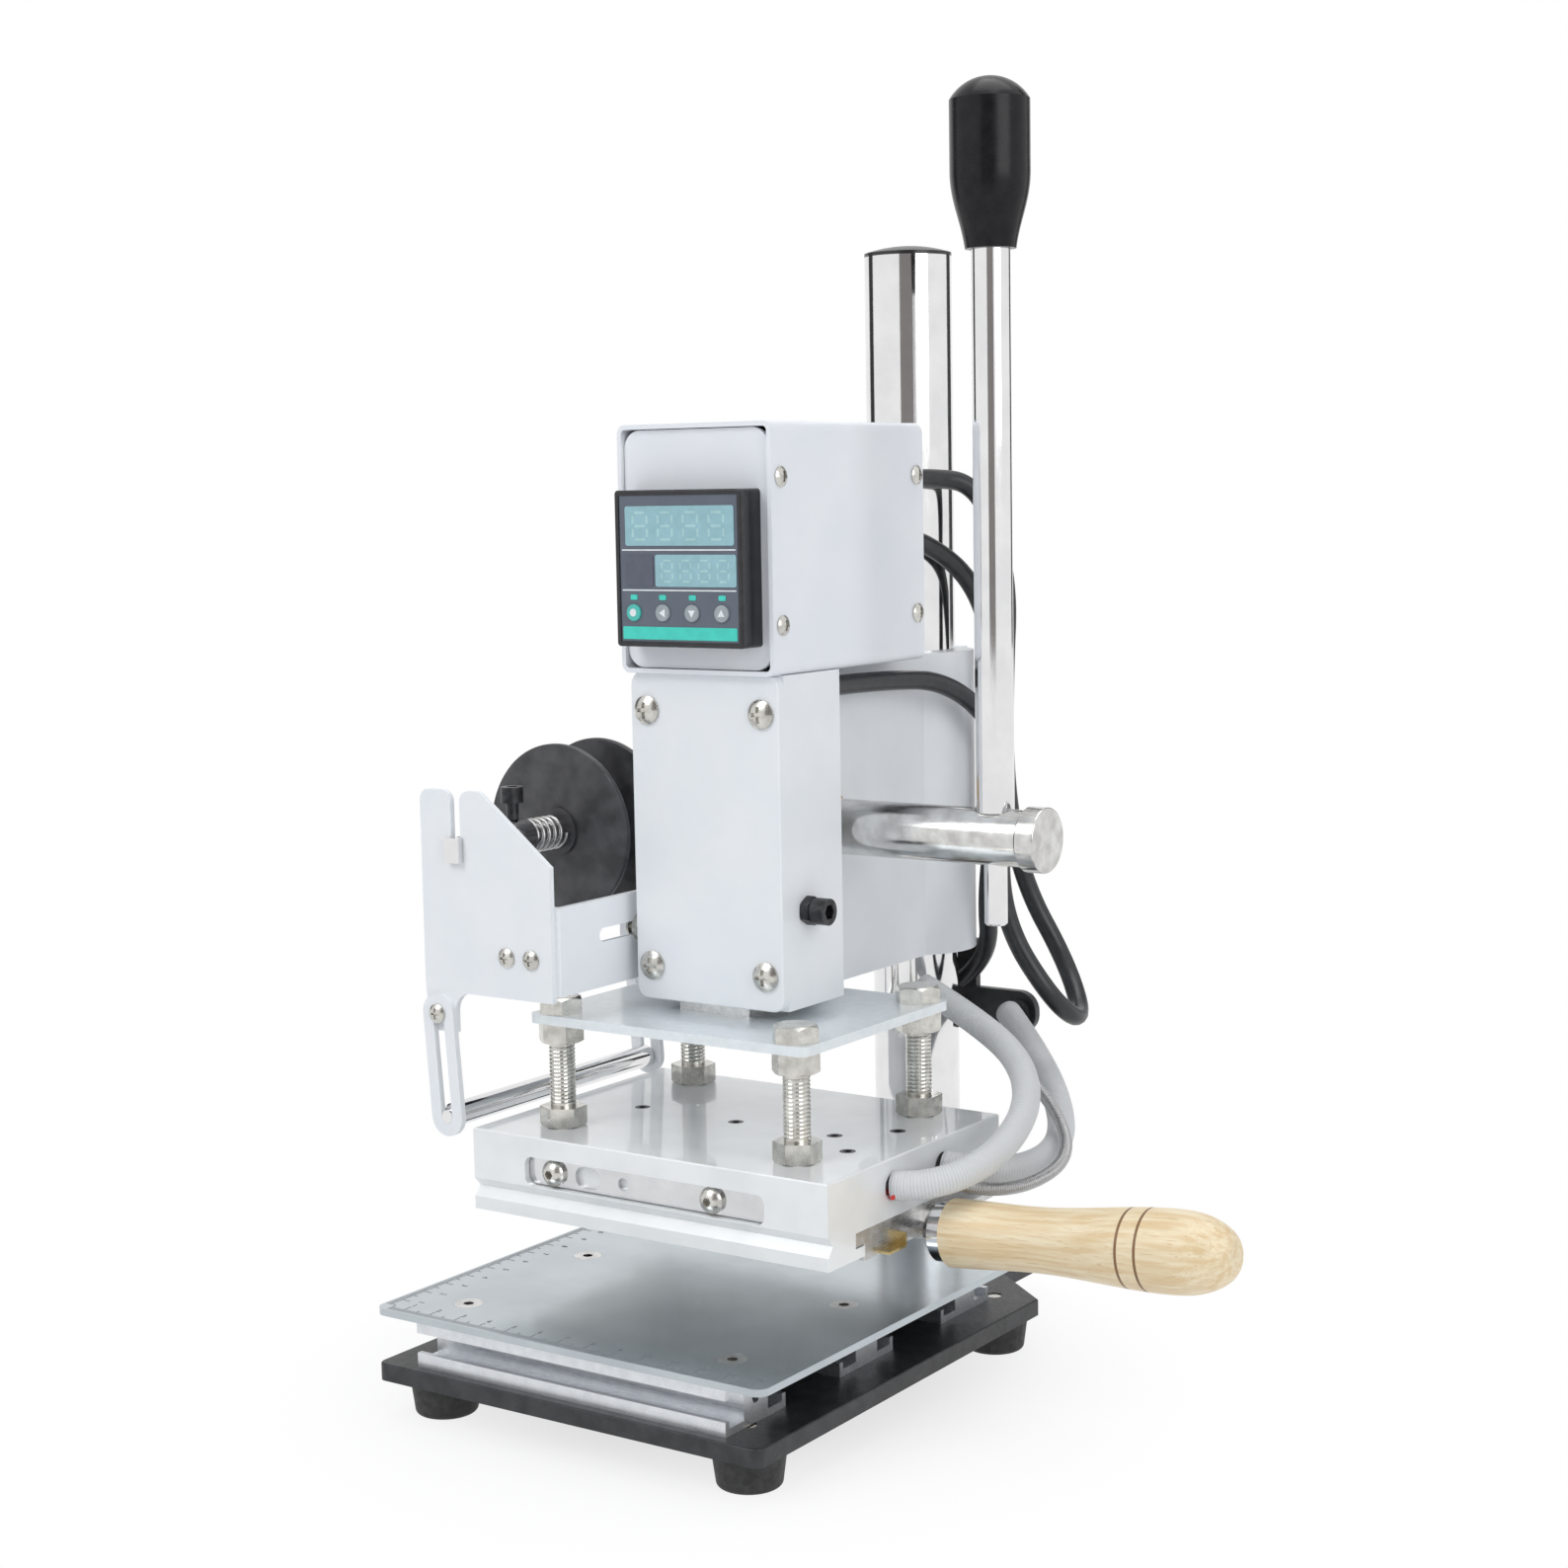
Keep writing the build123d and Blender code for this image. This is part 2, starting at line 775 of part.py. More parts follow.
# Ram with its rack, and the gib that takes up its play
rack_pitch = math.pi * gear_module
rack_tooth_half = rack_pitch / 4 - tooth_backlash / 4
flank_slope = math.tan(math.radians(pressure_angle))
ram_y = (ram_front + ram_back) / 2
rack_teeth = [
    pinion_z + rack_pitch * (index + 0.5) for index in range(-rack_low_teeth, rack_high_teeth + 1)
]
ram_screw_places = [
    (side * ram_screw_pitch / 2, ram_y + end * ram_screw_pitch / 2) for side in (-1, 1) for end in (-1, 1)
]
tooth_root_half = rack_tooth_half + flank_slope * (rack_pitch_y - rack_root_y)
tooth_tip_half = rack_tooth_half - flank_slope * gear_module
with BuildPart() as ram:
    with BuildSketch(Plane.XY.offset(ram_bottom)):
        with Locations((-gib_thick / 2, ram_y)):
            Rectangle(2 * ram_half_width - gib_thick / 2, ram_back - ram_front)
    extrude(amount=ram_height)
    chamfer(ram.edges().filter_by(Axis.Z), length=edge_round)
    for tooth_z in rack_teeth:
        with BuildSketch(Plane.YZ.offset(-pinion_half_width)):
            with BuildLine():
                Polyline(
                    (ram_back - edge_round, tooth_z - tooth_root_half),
                    (rack_root_y, tooth_z - tooth_root_half),
                    (rack_tip_y, tooth_z - tooth_tip_half),
                    (rack_tip_y, tooth_z + tooth_tip_half),
                    (rack_root_y, tooth_z + tooth_root_half),
                    (ram_back - edge_round, tooth_z + tooth_root_half),
                    close=True,
                )
            make_face()
        extrude(amount=2 * pinion_half_width)
    with BuildSketch(Plane.YZ.offset(-pinion_half_width)):
        with BuildLine():
            Polyline(
                (ram_back - edge_round, rack_teeth[0] - rack_pitch / 2),
                (rack_root_y, rack_teeth[0] - rack_pitch / 2),
                (rack_root_y, rack_teeth[-1] + rack_pitch / 2),
                (ram_back - edge_round, rack_teeth[-1] + rack_pitch / 2),
                close=True,
            )
        make_face()
    extrude(amount=2 * pinion_half_width)
    with Locations(*[Location((x, y, ram_bottom), (180, 0, 0)) for x, y in ram_screw_places]):
        Hole(radius=ram_screw_r + running_gap, depth=ram_screw_length)
ram.part.label = "ram"
export_step(ram.part, "parts/ram.step")

with BuildPart() as gib_strip:
    with BuildSketch(Plane.XY.offset(body_bottom)):
        with Locations((ram_half_width - gib_thick / 4 + running_gap, ram_y)):
            Rectangle(gib_thick / 2, ram_back - ram_front - 2 * free_gap)
    extrude(amount=body_top - body_bottom)
gib_strip.part.label = "gib_strip"
export_step(gib_strip.part, "parts/gib_strip.step")

with BuildPart() as gib_screw:
    with BuildSketch(Plane.YZ.offset(ram_half_width + gib_thick)):
        with Locations((gib_screw_y, gib_screw_z)):
            Circle(gib_screw_r)
    extrude(amount=housing_half_width + gib_nut_thick + free_gap - ram_half_width - gib_thick)
    with BuildSketch(Plane.YZ.offset(housing_half_width + gib_nut_thick + free_gap)):
        with Locations((gib_screw_y, gib_screw_z)):
            Circle(gib_head_r)
            RegularPolygon(gib_screw_r, 6, mode=Mode.SUBTRACT)
    extrude(amount=gib_head_length)
    with BuildSketch(Plane.YZ.offset(housing_half_width + gib_nut_thick + free_gap)):
        with Locations((gib_screw_y, gib_screw_z)):
            Circle(gib_head_r)
    extrude(amount=gib_head_length / 3)
    with Locations(Location((housing_half_width, gib_screw_y, gib_screw_z), (0, 90, 0))):
        add(hex_nut(gib_nut_flats, gib_nut_thick, gib_screw_r + running_gap))
gib_screw.part.label = "gib_screw_set"
export_step(gib_screw.part, "parts/gib_screw_set.step")

# Pinion shaft: teeth, a left journal and the thick chrome hub that carries the lever
tooth_angle = 360 / pinion_teeth
with BuildPart() as pinion_shaft:
    with BuildSketch(Plane.YZ.offset(-pinion_half_width)):
        with Locations((pinion_y, pinion_z)):
            Circle(root_r)
    extrude(amount=2 * pinion_half_width)
    for tooth in range(pinion_teeth):
        turn = math.radians(180 + tooth * tooth_angle)
        flank_radii = [
            root_r - edge_round,
            pitch_r - gear_module / 2,
            pitch_r,
            pitch_r + gear_module / 2,
            tip_r,
        ]
        outline = []
        for side in (-1, 1):
            radii = flank_radii if side < 0 else list(reversed(flank_radii))
            for radius in radii:
                spread = side * involute_half_angle(radius, pitch_r, pinion_teeth)
                outline.append((
                    pinion_y + radius * math.cos(turn + spread),
                    pinion_z + radius * math.sin(turn + spread),
                ))
        with BuildSketch(Plane.YZ.offset(-pinion_half_width)):
            with BuildLine():
                Polyline(*outline, close=True)
            make_face()
        extrude(amount=2 * pinion_half_width)
    with BuildSketch(Plane.YZ.offset(-arm_half_width - free_gap - retainer_length)):
        with Locations((pinion_y, pinion_z)):
            Circle(journal_r)
    extrude(amount=arm_half_width + free_gap + retainer_length - pinion_half_width)
    with BuildSketch(Plane.YZ.offset(pinion_half_width)):
        with Locations((pinion_y, pinion_z)):
            Circle(shaft_r)
    extrude(amount=hub_end - pinion_half_width)
    with BuildSketch(Plane.XY.offset(pinion_z + shaft_r - lever_flat)):
        with Locations((lever_x, pinion_y)):
            Circle(lever_r + free_gap)
    extrude(amount=shaft_r, mode=Mode.SUBTRACT)
    with Locations((lever_x, pinion_y, pinion_z + shaft_r)):
        Hole(radius=lever_foot_r + running_gap)
pinion_shaft.part.label = "pinion_shaft"
export_step(pinion_shaft.part, "parts/pinion_shaft.step")

with BuildPart() as shaft_bush:
    with BuildSketch(Plane.YZ.offset(arm_half_width - bush_length)):
        with Locations((pinion_y, pinion_z)):
            Circle(bush_outer_r)
            Circle(shaft_r + running_gap, mode=Mode.SUBTRACT)
    extrude(amount=bush_length)
shaft_bush.part.label = "shaft_bush"
export_step(shaft_bush.part, "parts/shaft_bush.step")

with BuildPart() as shaft_cap:
    with BuildSketch(Plane.YZ.offset(hub_end)):
        with Locations((pinion_y, pinion_z)):
            Circle(hub_cap_r)
    extrude(amount=hub_cap_length)
    chamfer(
        shaft_cap.faces().sort_by(Axis.X)[0].edges(),
        length=hub_cap_r - shaft_r - free_gap,
        length2=hub_cap_step,
    )
    fillet(shaft_cap.faces().sort_by(Axis.X)[-1].edges(), radius=edge_round)
shaft_cap.part.label = "shaft_cap"
export_step(shaft_cap.part, "parts/shaft_cap.step")

with BuildPart() as shaft_retainer:
    with BuildSketch(Plane.YZ.offset(-arm_half_width - free_gap - retainer_length)):
        with Locations((pinion_y, pinion_z)):
            Circle(retainer_r)
            Circle(journal_r + running_gap, mode=Mode.SUBTRACT)
    extrude(amount=retainer_length)
    chamfer(shaft_retainer.faces().sort_by(Axis.X)[0].outer_wire().edges(), length=edge_round)
shaft_retainer.part.label = "shaft_retainer"
export_step(shaft_retainer.part, "parts/shaft_retainer.step")

# Lever rod and grip
lever_seat_z = pinion_z + shaft_r - lever_flat
with BuildPart() as lever_rod:
    with BuildSketch(Plane.XY.offset(lever_seat_z)):
        with Locations((lever_x, pinion_y)):
            Circle(lever_r)
    extrude(amount=grip_bottom + grip_sink - lever_seat_z)
    with BuildSketch(Plane.XY.offset(lever_foot_z)):
        with Locations((lever_x, pinion_y)):
            Circle(lever_foot_r)
    extrude(amount=lever_seat_z - lever_foot_z)
    chamfer(lever_rod.faces().sort_by(Axis.Z)[0].edges(), length=edge_round)
lever_rod.part.label = "lever_rod"
export_step(lever_rod.part, "parts/lever_rod.step")

dome_reach, dome_z = dome_point(grip_r, grip_top - grip_dome, grip_top, 0.5)
grip_dome_middle = (lever_x + dome_reach, dome_z)
with BuildPart() as lever_grip:
    with BuildSketch(Plane.XZ.offset(-pinion_y)):
        with BuildLine():
            Line((lever_x, grip_bottom), (lever_x + grip_low_r, grip_bottom))
            Spline(
                (lever_x + grip_low_r, grip_bottom),
                (lever_x + grip_r, grip_taper_top),
                tangents=[(0.12, 1), (0, 1)],
            )
            Line((lever_x + grip_r, grip_taper_top), (lever_x + grip_r, grip_top - grip_dome))
            ThreePointArc(
                (lever_x + grip_r, grip_top - grip_dome),
                grip_dome_middle,
                (lever_x, grip_top),
            )
            Line((lever_x, grip_top), (lever_x, grip_bottom))
        make_face()
    revolve(axis=Axis((lever_x, pinion_y, 0), (0, 0, 1)))
    with Locations(Location((lever_x, pinion_y, grip_bottom), (180, 0, 0))):
        Hole(radius=lever_r + running_gap, depth=grip_sink + free_gap)
lever_grip.part.label = "lever_grip"
export_step(lever_grip.part, "parts/lever_grip.step")

# Hanging plate under the ram
bolt_places = [(side * bolt_x, y) for side in (-1, 1) for y in (bolt_front_y, bolt_back_y)]
plate_bottom = ram_bottom - plate_thick
with BuildPart() as hanging_plate:
    with BuildSketch(Plane.XY.offset(plate_bottom)):
        with Locations((0, (plate_back - plate_front) / 2)):
            RectangleRounded(2 * plate_half_width, plate_front + plate_back, plate_corner_r)
        with Locations(*bolt_places):
            Circle(bolt_r + running_gap, mode=Mode.SUBTRACT)
        with Locations(*ram_screw_places):
            Circle(ram_screw_r + running_gap, mode=Mode.SUBTRACT)
    extrude(amount=plate_thick)
hanging_plate.part.label = "hanging_plate"
export_step(hanging_plate.part, "parts/hanging_plate.step")

ram_screw = screw(
    ram_screw_head_r,
    ram_screw_head_height,
    ram_screw_r,
    plate_thick + ram_screw_length - free_gap,
    socket_r=ram_screw_r * 0.8,
)
ram_screws = placed(
    ram_screw, [Location((x, y, plate_bottom), (180, 0, 0)) for x, y in ram_screw_places]
)
ram_screws.label = "ram_screws"
export_step(ram_screws, "parts/ram_screws.step")

# Four hexagon bolts that hang the block, and their nuts
with BuildPart() as one_bolt:
    with BuildSketch(Plane.XY):
        RegularPolygon(bolt_head_flats / 2, 6, major_radius=False)
    extrude(amount=bolt_head_height)
    with BuildSketch(Plane.XZ):
        with BuildLine():
            Polyline(
                (bolt_head_flats / 2 - edge_round, bolt_head_height),
                (bolt_head_flats, bolt_head_height),
                (bolt_head_flats, bolt_head_height - bolt_head_flats / 4 - edge_round),
                close=True,
            )
        make_face()
    revolve(axis=Axis.Z, mode=Mode.SUBTRACT)
    with BuildSketch(Plane.XY):
        Circle(bolt_r)
    extrude(amount=-(ram_bottom - block_top + bolt_tip_depth - free_gap))
hanging_bolts = placed(
    one_bolt.part, [Location((x, y, ram_bottom), (0, 0, bolt_turn)) for x, y in bolt_places]
)
hanging_bolts.label = "hanging_bolts"
export_step(hanging_bolts, "parts/hanging_bolts.step")

one_nut = hex_nut(bolt_head_flats, nut_height, bolt_r + running_gap)
hanging_nuts = placed(
    one_nut,
    [Location((x, y, plate_bottom - nut_height), (0, 0, plate_nut_turn)) for x, y in bolt_places]
    + [Location((x, y, block_top), (0, 0, block_nut_turn)) for x, y in bolt_places],
)
hanging_nuts.label = "hanging_nuts"
export_step(hanging_nuts, "parts/hanging_nuts.step")

# Heating block: heater bores, latch pocket, front groove and the tee slot of the die tray
block_y = (block_back - block_front) / 2
heater_places = [block_y - heater_pitch / 2, block_y + heater_pitch / 2]
pocket_z = (pocket_top + pocket_bottom) / 2
set_screw_places = [
    (-set_screw_outer_x, set_screw_outer_y),
    set_screw_middle,
    (set_screw_outer_x, set_screw_outer_y),
    (set_screw_clamp_x, heater_places[0]),
    (set_screw_clamp_x, heater_places[1]),
]
with BuildPart() as heating_block:
    with BuildSketch(Plane.XY.offset(block_bottom)):
        with Locations((0, block_y)):
            Rectangle(2 * block_half_width, block_front + block_back)
    extrude(amount=block_top - block_bottom)
    chamfer(heating_block.faces().sort_by(Axis.Z)[-1].edges(), length=block_round / 2)
    with BuildSketch(Plane.YZ.offset(-block_half_width)):
        with BuildLine():
            Polyline(
                (-block_front, groove_top),
                (-block_front + groove_depth, groove_apex),
                (-block_front, groove_low),
                close=True,
            )
        make_face()
        with Locations((tray_y, (tray_step + tray_top) / 2)):
            Rectangle(2 * (tray_half_width + tray_gap), tray_top - tray_step + 2 * tray_gap)
        with Locations((tray_y, (block_bottom + tray_step) / 2)):
            Rectangle(2 * (tray_neck_half_width + tray_gap), tray_step - block_bottom)
    extrude(amount=2 * block_half_width, mode=Mode.SUBTRACT)
    with BuildSketch(Plane.XZ.offset(block_front)):
        with Locations(((pocket_right - pocket_left) / 2, pocket_z)):
            RectangleRounded(pocket_right + pocket_left, pocket_top - pocket_bottom, pocket_corner_r)
    extrude(amount=-pocket_depth, mode=Mode.SUBTRACT)
    with BuildSketch(Plane.XZ.offset(block_front)):
        with Locations((latch_screw_left_x, pocket_z), (latch_screw_right_x, pocket_z)):
            Circle(small_screw_r + running_gap)
    extrude(amount=-pocket_depth - screw_bite, mode=Mode.SUBTRACT)
    with BuildSketch(Plane.YZ.offset(block_half_width)):
        with Locations(*[(y, heater_z) for y in heater_places]):
            Circle(heater_r + running_gap)
    extrude(amount=-heater_length, mode=Mode.SUBTRACT)
    with BuildSketch(Plane.YZ.offset(block_half_width)):
        with Locations((block_y, heater_z)):
            Circle(small_screw_r + running_gap)
    extrude(amount=-heater_length / 2, mode=Mode.SUBTRACT)
    with Locations(*[(x, y, block_top) for x, y in bolt_places]):
        Hole(radius=bolt_r + running_gap, depth=bolt_tip_depth)
    with Locations(*[(x, y, block_top) for x, y in set_screw_places]):
        Hole(radius=set_screw_r + running_gap, depth=set_screw_length)
heating_block.part.label = "heating_block"
export_step(heating_block.part, "parts/heating_block.step")

with BuildPart() as heater_cartridges:
    with BuildSketch(Plane.YZ.offset(block_half_width - heater_set_back)):
        with Locations(*[(y, heater_z) for y in heater_places]):
            Circle(heater_r)
    extrude(amount=-(heater_length - 2 * heater_set_back))
heater_cartridges.part.label = "heater_cartridges"
export_step(heater_cartridges.part, "parts/heater_cartridges.step")

with BuildPart() as one_set_screw:
    with BuildSketch(Plane.XY):
        Circle(set_screw_r)
        RegularPolygon(set_screw_r * 0.55, 6, mode=Mode.SUBTRACT)
    extrude(amount=-set_screw_length / 2)
    with BuildSketch(Plane.XY.offset(-set_screw_length / 2)):
        Circle(set_screw_r)
    extrude(amount=-set_screw_length / 2 + free_gap)
set_screws = placed(one_set_screw.part, [Location((x, y, block_top)) for x, y in set_screw_places])
set_screws.label = "set_screws"
export_step(set_screws, "parts/set_screws.step")

# Latch strip in the front pocket
pocket_floor = block_front - pocket_depth
with BuildPart() as latch_strip:
    with BuildSketch(Plane.XZ.offset(pocket_floor)):
        with Locations(((pocket_right - pocket_left) / 2, pocket_z)):
            RectangleRounded(
                pocket_right + pocket_left - 2 * free_gap,
                pocket_top - pocket_bottom - 2 * free_gap,
                pocket_corner_r - free_gap,
            )
        with Locations((latch_slot_x, pocket_z)):
            SlotOverall(latch_slot_length, latch_slot_width, mode=Mode.SUBTRACT)
        with Locations((latch_hole_x, pocket_z)):
            Circle(latch_hole_r, mode=Mode.SUBTRACT)
        with Locations(*[(x, pocket_z) for x in (latch_screw_left_x, latch_screw_right_x)]):
            Circle(small_screw_r + running_gap, mode=Mode.SUBTRACT)
    extrude(amount=latch_thick)
latch_strip.part.label = "latch_strip"
export_step(latch_strip.part, "parts/latch_strip.step")

latch_screw = screw(
    latch_screw_head_r,
    latch_screw_head_height,
    small_screw_r,
    latch_thick + screw_bite - free_gap,
    socket_r=latch_screw_socket_r,
)
latch_screws = placed(
    latch_screw,
    [
        Location((x, -pocket_floor - latch_thick, pocket_z), (90, 0, 0))
        for x in (latch_screw_left_x, latch_screw_right_x)
    ],
)
latch_screws.label = "latch_screws"
export_step(latch_screws, "parts/latch_screws.step")

# Die tray: a tee-section plate with a drilled end tab and its tang
handle_plane = Plane(
    origin=(handle_start, tray_y, (tray_bottom + tray_step) / 2),
    x_dir=(0, 1, 0),
    z_dir=(math.cos(math.radians(handle_tilt)), 0, math.sin(math.radians(handle_tilt))),
)
with BuildPart() as die_tray:
    with BuildSketch(Plane.YZ.offset(tray_left)):
        with Locations((tray_y, (tray_step + tray_top) / 2)):
            Rectangle(2 * tray_half_width, tray_top - tray_step)
        with Locations((tray_y, (tray_bottom + tray_step) / 2)):
            Rectangle(2 * tray_neck_half_width, tray_step - tray_bottom)
    extrude(amount=tray_right - tray_left)
    fillet(die_tray.edges().filter_by(Axis.Z).group_by(Axis.X)[-1], radius=edge_round)
    with BuildSketch(handle_plane.offset(-handle_start + tray_right - handle_sink)):
        Rectangle(tang_width, tang_thick)
    extrude(amount=handle_start - tray_right + 2 * handle_sink)
    with BuildSketch(Plane.XY.offset(tray_step)):
        with Locations((tray_right, (end_tab_front + end_tab_back) / 2)):
            Rectangle(end_tab_reach, end_tab_back - end_tab_front, align=(Align.MIN, Align.CENTER))
        with Locations((tray_right + end_tab_reach / 2, end_tab_front + end_tab_reach / 2)):
            Circle(end_tab_hole_r, mode=Mode.SUBTRACT)
    extrude(amount=end_tab_thick)
die_tray.part.label = "die_tray"
export_step(die_tray.part, "parts/die_tray.step")

with BuildPart() as tray_clip:
    with BuildSketch(Plane.YZ.offset(tray_right)):
        with Locations((clip_y, tray_bottom)):
            Rectangle(clip_length, clip_thick, align=(Align.MAX, Align.MIN))
            Rectangle(clip_thick, clip_height, align=(Align.MAX, Align.MIN))
    extrude(amount=clip_thick * 4)
tray_clip.part.label = "tray_clip"
export_step(tray_clip.part, "parts/tray_clip.step")

# Ferrule and turned handle, on the tilted axis of the tang
with BuildPart() as tray_ferrule:
    with BuildSketch(handle_plane):
        Circle(ferrule_front_r)
    with BuildSketch(handle_plane.offset(ferrule_length / 3)):
        Circle(ferrule_r)
    loft()
    with BuildSketch(handle_plane.offset(ferrule_length / 3)):
        Circle(ferrule_r)
    extrude(amount=ferrule_length * 2 / 3)
    with BuildSketch(handle_plane.offset(ferrule_length / 3)):
        Circle(ferrule_r - ferrule_wall)
    extrude(amount=ferrule_length, mode=Mode.SUBTRACT)
    with BuildSketch(handle_plane.offset(-ferrule_length)):
        Rectangle(tang_width + 2 * running_gap, tang_thick + 2 * running_gap)
    extrude(amount=3 * ferrule_length, mode=Mode.SUBTRACT)
tray_ferrule.part.label = "tray_ferrule"
export_step(tray_ferrule.part, "parts/tray_ferrule.step")

handle_stem_r = ferrule_r - ferrule_wall - running_gap
handle_end = ferrule_length + handle_length
with BuildPart() as tray_handle:
    with BuildSketch(Plane.XZ):
        with BuildLine():
            Line((0, ferrule_length / 3), (handle_stem_r, ferrule_length / 3))
            Line((handle_stem_r, ferrule_length / 3), (handle_stem_r, ferrule_length))
            Line((handle_stem_r, ferrule_length), (handle_shoulder_r, ferrule_length))
            Spline(
                (handle_shoulder_r, ferrule_length),
                (handle_waist_r, ferrule_length + handle_waist_at),
                (handle_swell_r, ferrule_length + handle_swell_at),
                (handle_tail_r, ferrule_length + handle_tail_at),
                (handle_nose_r, handle_end),
                tangents=[(0, 1), (-1, 0.35)],
            )
            Line((handle_nose_r, handle_end), (0, handle_end))
            Line((0, handle_end), (0, ferrule_length / 3))
        make_face()
    revolve(axis=Axis.Z)
    with BuildSketch(Plane.XZ):
        with Locations(*[(handle_swell_r, ferrule_length + groove_at) for groove_at in handle_groove_places]):
            Circle(handle_groove_r)
    revolve(axis=Axis.Z, mode=Mode.SUBTRACT)
    with BuildSketch(Plane.XY):
        Rectangle(tang_width + 2 * running_gap, tang_thick + 2 * running_gap)
    extrude(amount=handle_sink + free_gap, mode=Mode.SUBTRACT)
tray_handle_part = handle_plane.location * tray_handle.part
tray_handle_part.label = "tray_handle"
export_step(tray_handle_part, "parts/tray_handle.step")

# Foil holder: two slotted plates on one cross bracket
def holder_plate(face_y):
    """A bracket plate whose front face lies at face_y, open at the top for the reel shaft."""
    with BuildPart() as plate:
        with BuildSketch(Plane.XZ.offset(-face_y)):
            with BuildLine():
                Polyline(
                    (holder_left, holder_top),
                    (holder_prong_right, holder_top),
                    (holder_right, holder_shoulder),
                    (holder_right, holder_bottom),
                    (holder_tongue_right, holder_bottom),
                    (holder_tongue_right, holder_tongue_bottom),
                    (holder_tongue_left, holder_tongue_bottom),
                    (holder_left, holder_bottom + holder_corner_r),
                    close=True,
                )
            make_face()
            with BuildLine():
                Polyline(
                    (reel_x - reel_slot_width / 2, holder_top + holder_corner_r),
                    (reel_x - reel_slot_width / 2, reel_z),
                    (reel_x + reel_slot_width / 2, reel_z),
                    (reel_x + reel_slot_width / 2, holder_top + holder_corner_r),
                    close=True,
                )
            make_face(mode=Mode.SUBTRACT)
            with Locations((reel_x, reel_z)):
                Circle(reel_slot_width / 2, mode=Mode.SUBTRACT)
            with Locations((guide_arm_pivot_x, guide_arm_pivot_z)):
                Circle(small_screw_r + running_gap, mode=Mode.SUBTRACT)
            with Locations(*[(x, tab_screw_z) for x in (tab_screw_left, tab_screw_right)]):
                Circle(small_screw_r + running_gap, mode=Mode.SUBTRACT)
        extrude(amount=-holder_thick)
        top_corners = plate.edges().filter_by(Axis.Y).group_by(Axis.Z)[-1]
        fillet(top_corners, radius=holder_prong_round)
        inner_corner = (holder_tongue_right, face_y, holder_bottom)
        fillet(plate.edges().filter_by(Axis.Y).sort_by_distance(inner_corner)[0], radius=holder_inner_round)
    return plate.part


foil_plates = placed(
    holder_plate(0), [Location((0, holder_front, 0)), Location((0, holder_back - holder_thick, 0))]
)
foil_plates.label = "foil_plates"
export_step(foil_plates, "parts/foil_plates.step")

cross_front = holder_front + holder_thick
cross_back = holder_back - holder_thick
with BuildPart() as foil_cross_bracket:
    with BuildSketch(Plane.XY.offset(cross_bottom)):
        with Locations((holder_right, (cross_front + cross_back) / 2)):
            Rectangle(holder_thick, cross_back - cross_front, align=(Align.MIN, Align.CENTER))
        with Locations((holder_right, cross_front)):
            Rectangle(tab_length, holder_thick, align=(Align.MAX, Align.MIN))
        with Locations((holder_right, cross_back)):
            Rectangle(tab_length, holder_thick, align=(Align.MAX, Align.MAX))
    extrude(amount=cross_top - cross_bottom)
    with BuildSketch(Plane.YZ.offset(holder_right)):
        with Locations(((cross_slot_front + cross_slot_back) / 2, cross_slot_z)):
            SlotOverall(cross_slot_back - cross_slot_front, cross_slot_width)
    extrude(amount=holder_thick, mode=Mode.SUBTRACT)
    with BuildSketch(Plane.XZ.offset(-cross_front)):
        with Locations(*[(x, tab_screw_z) for x in (tab_screw_left, tab_screw_right)]):
            Circle(small_screw_r + running_gap)
    extrude(amount=-(cross_back - cross_front), mode=Mode.SUBTRACT)
foil_cross_bracket.part.label = "foil_cross_bracket"
export_step(foil_cross_bracket.part, "parts/foil_cross_bracket.step")

# Spacers and screws that hold the cross bracket to the housing
spacer_length = -holder_right - holder_thick - housing_half_width
with BuildPart() as bracket_spacers:
    with BuildSketch(Plane.YZ.offset(-housing_half_width - spacer_length)):
        with Locations(*[(y, cross_slot_z) for y in (cross_screw_front, cross_screw_back)]):
            Circle(cross_spacer_r)
            Circle(cross_screw_r + running_gap, mode=Mode.SUBTRACT)
    extrude(amount=spacer_length)
bracket_screw = screw(
    cross_spacer_r - edge_round,
    dome_head_height,
    cross_screw_r,
    holder_thick + spacer_length + screw_bite - free_gap,
    cross_width=cross_recess_width,
)
bracket_screw_places = [
    Location((holder_right, y, cross_slot_z), (0, -90, 0)) for y in (cross_screw_front, cross_screw_back)
]
with BuildPart() as bracket_screws:
    with Locations(*bracket_screw_places):
        add(bracket_screw)
    add(bracket_spacers.part)
bracket_screws.part.label = "bracket_screws"
export_step(bracket_screws.part, "parts/bracket_screws.step")

small_screw = screw(
    small_head_r, small_head_height, small_screw_r, 2 * holder_thick, cross_width=cross_recess_width
)
holder_screws = placed(
    small_screw,
    [Location((x, holder_front, tab_screw_z), (90, 0, 0)) for x in (tab_screw_left, tab_screw_right)]
    + [Location((x, holder_back, tab_screw_z), (-90, 0, 0)) for x in (tab_screw_left, tab_screw_right)]
    + [
        Location((guide_arm_pivot_x, holder_front - holder_thick, guide_arm_pivot_z), (90, 0, 0)),
        Location((guide_arm_pivot_x, holder_back + holder_thick, guide_arm_pivot_z), (-90, 0, 0)),
    ],
)
holder_screws.label = "holder_screws"
export_step(holder_screws, "parts/holder_screws.step")

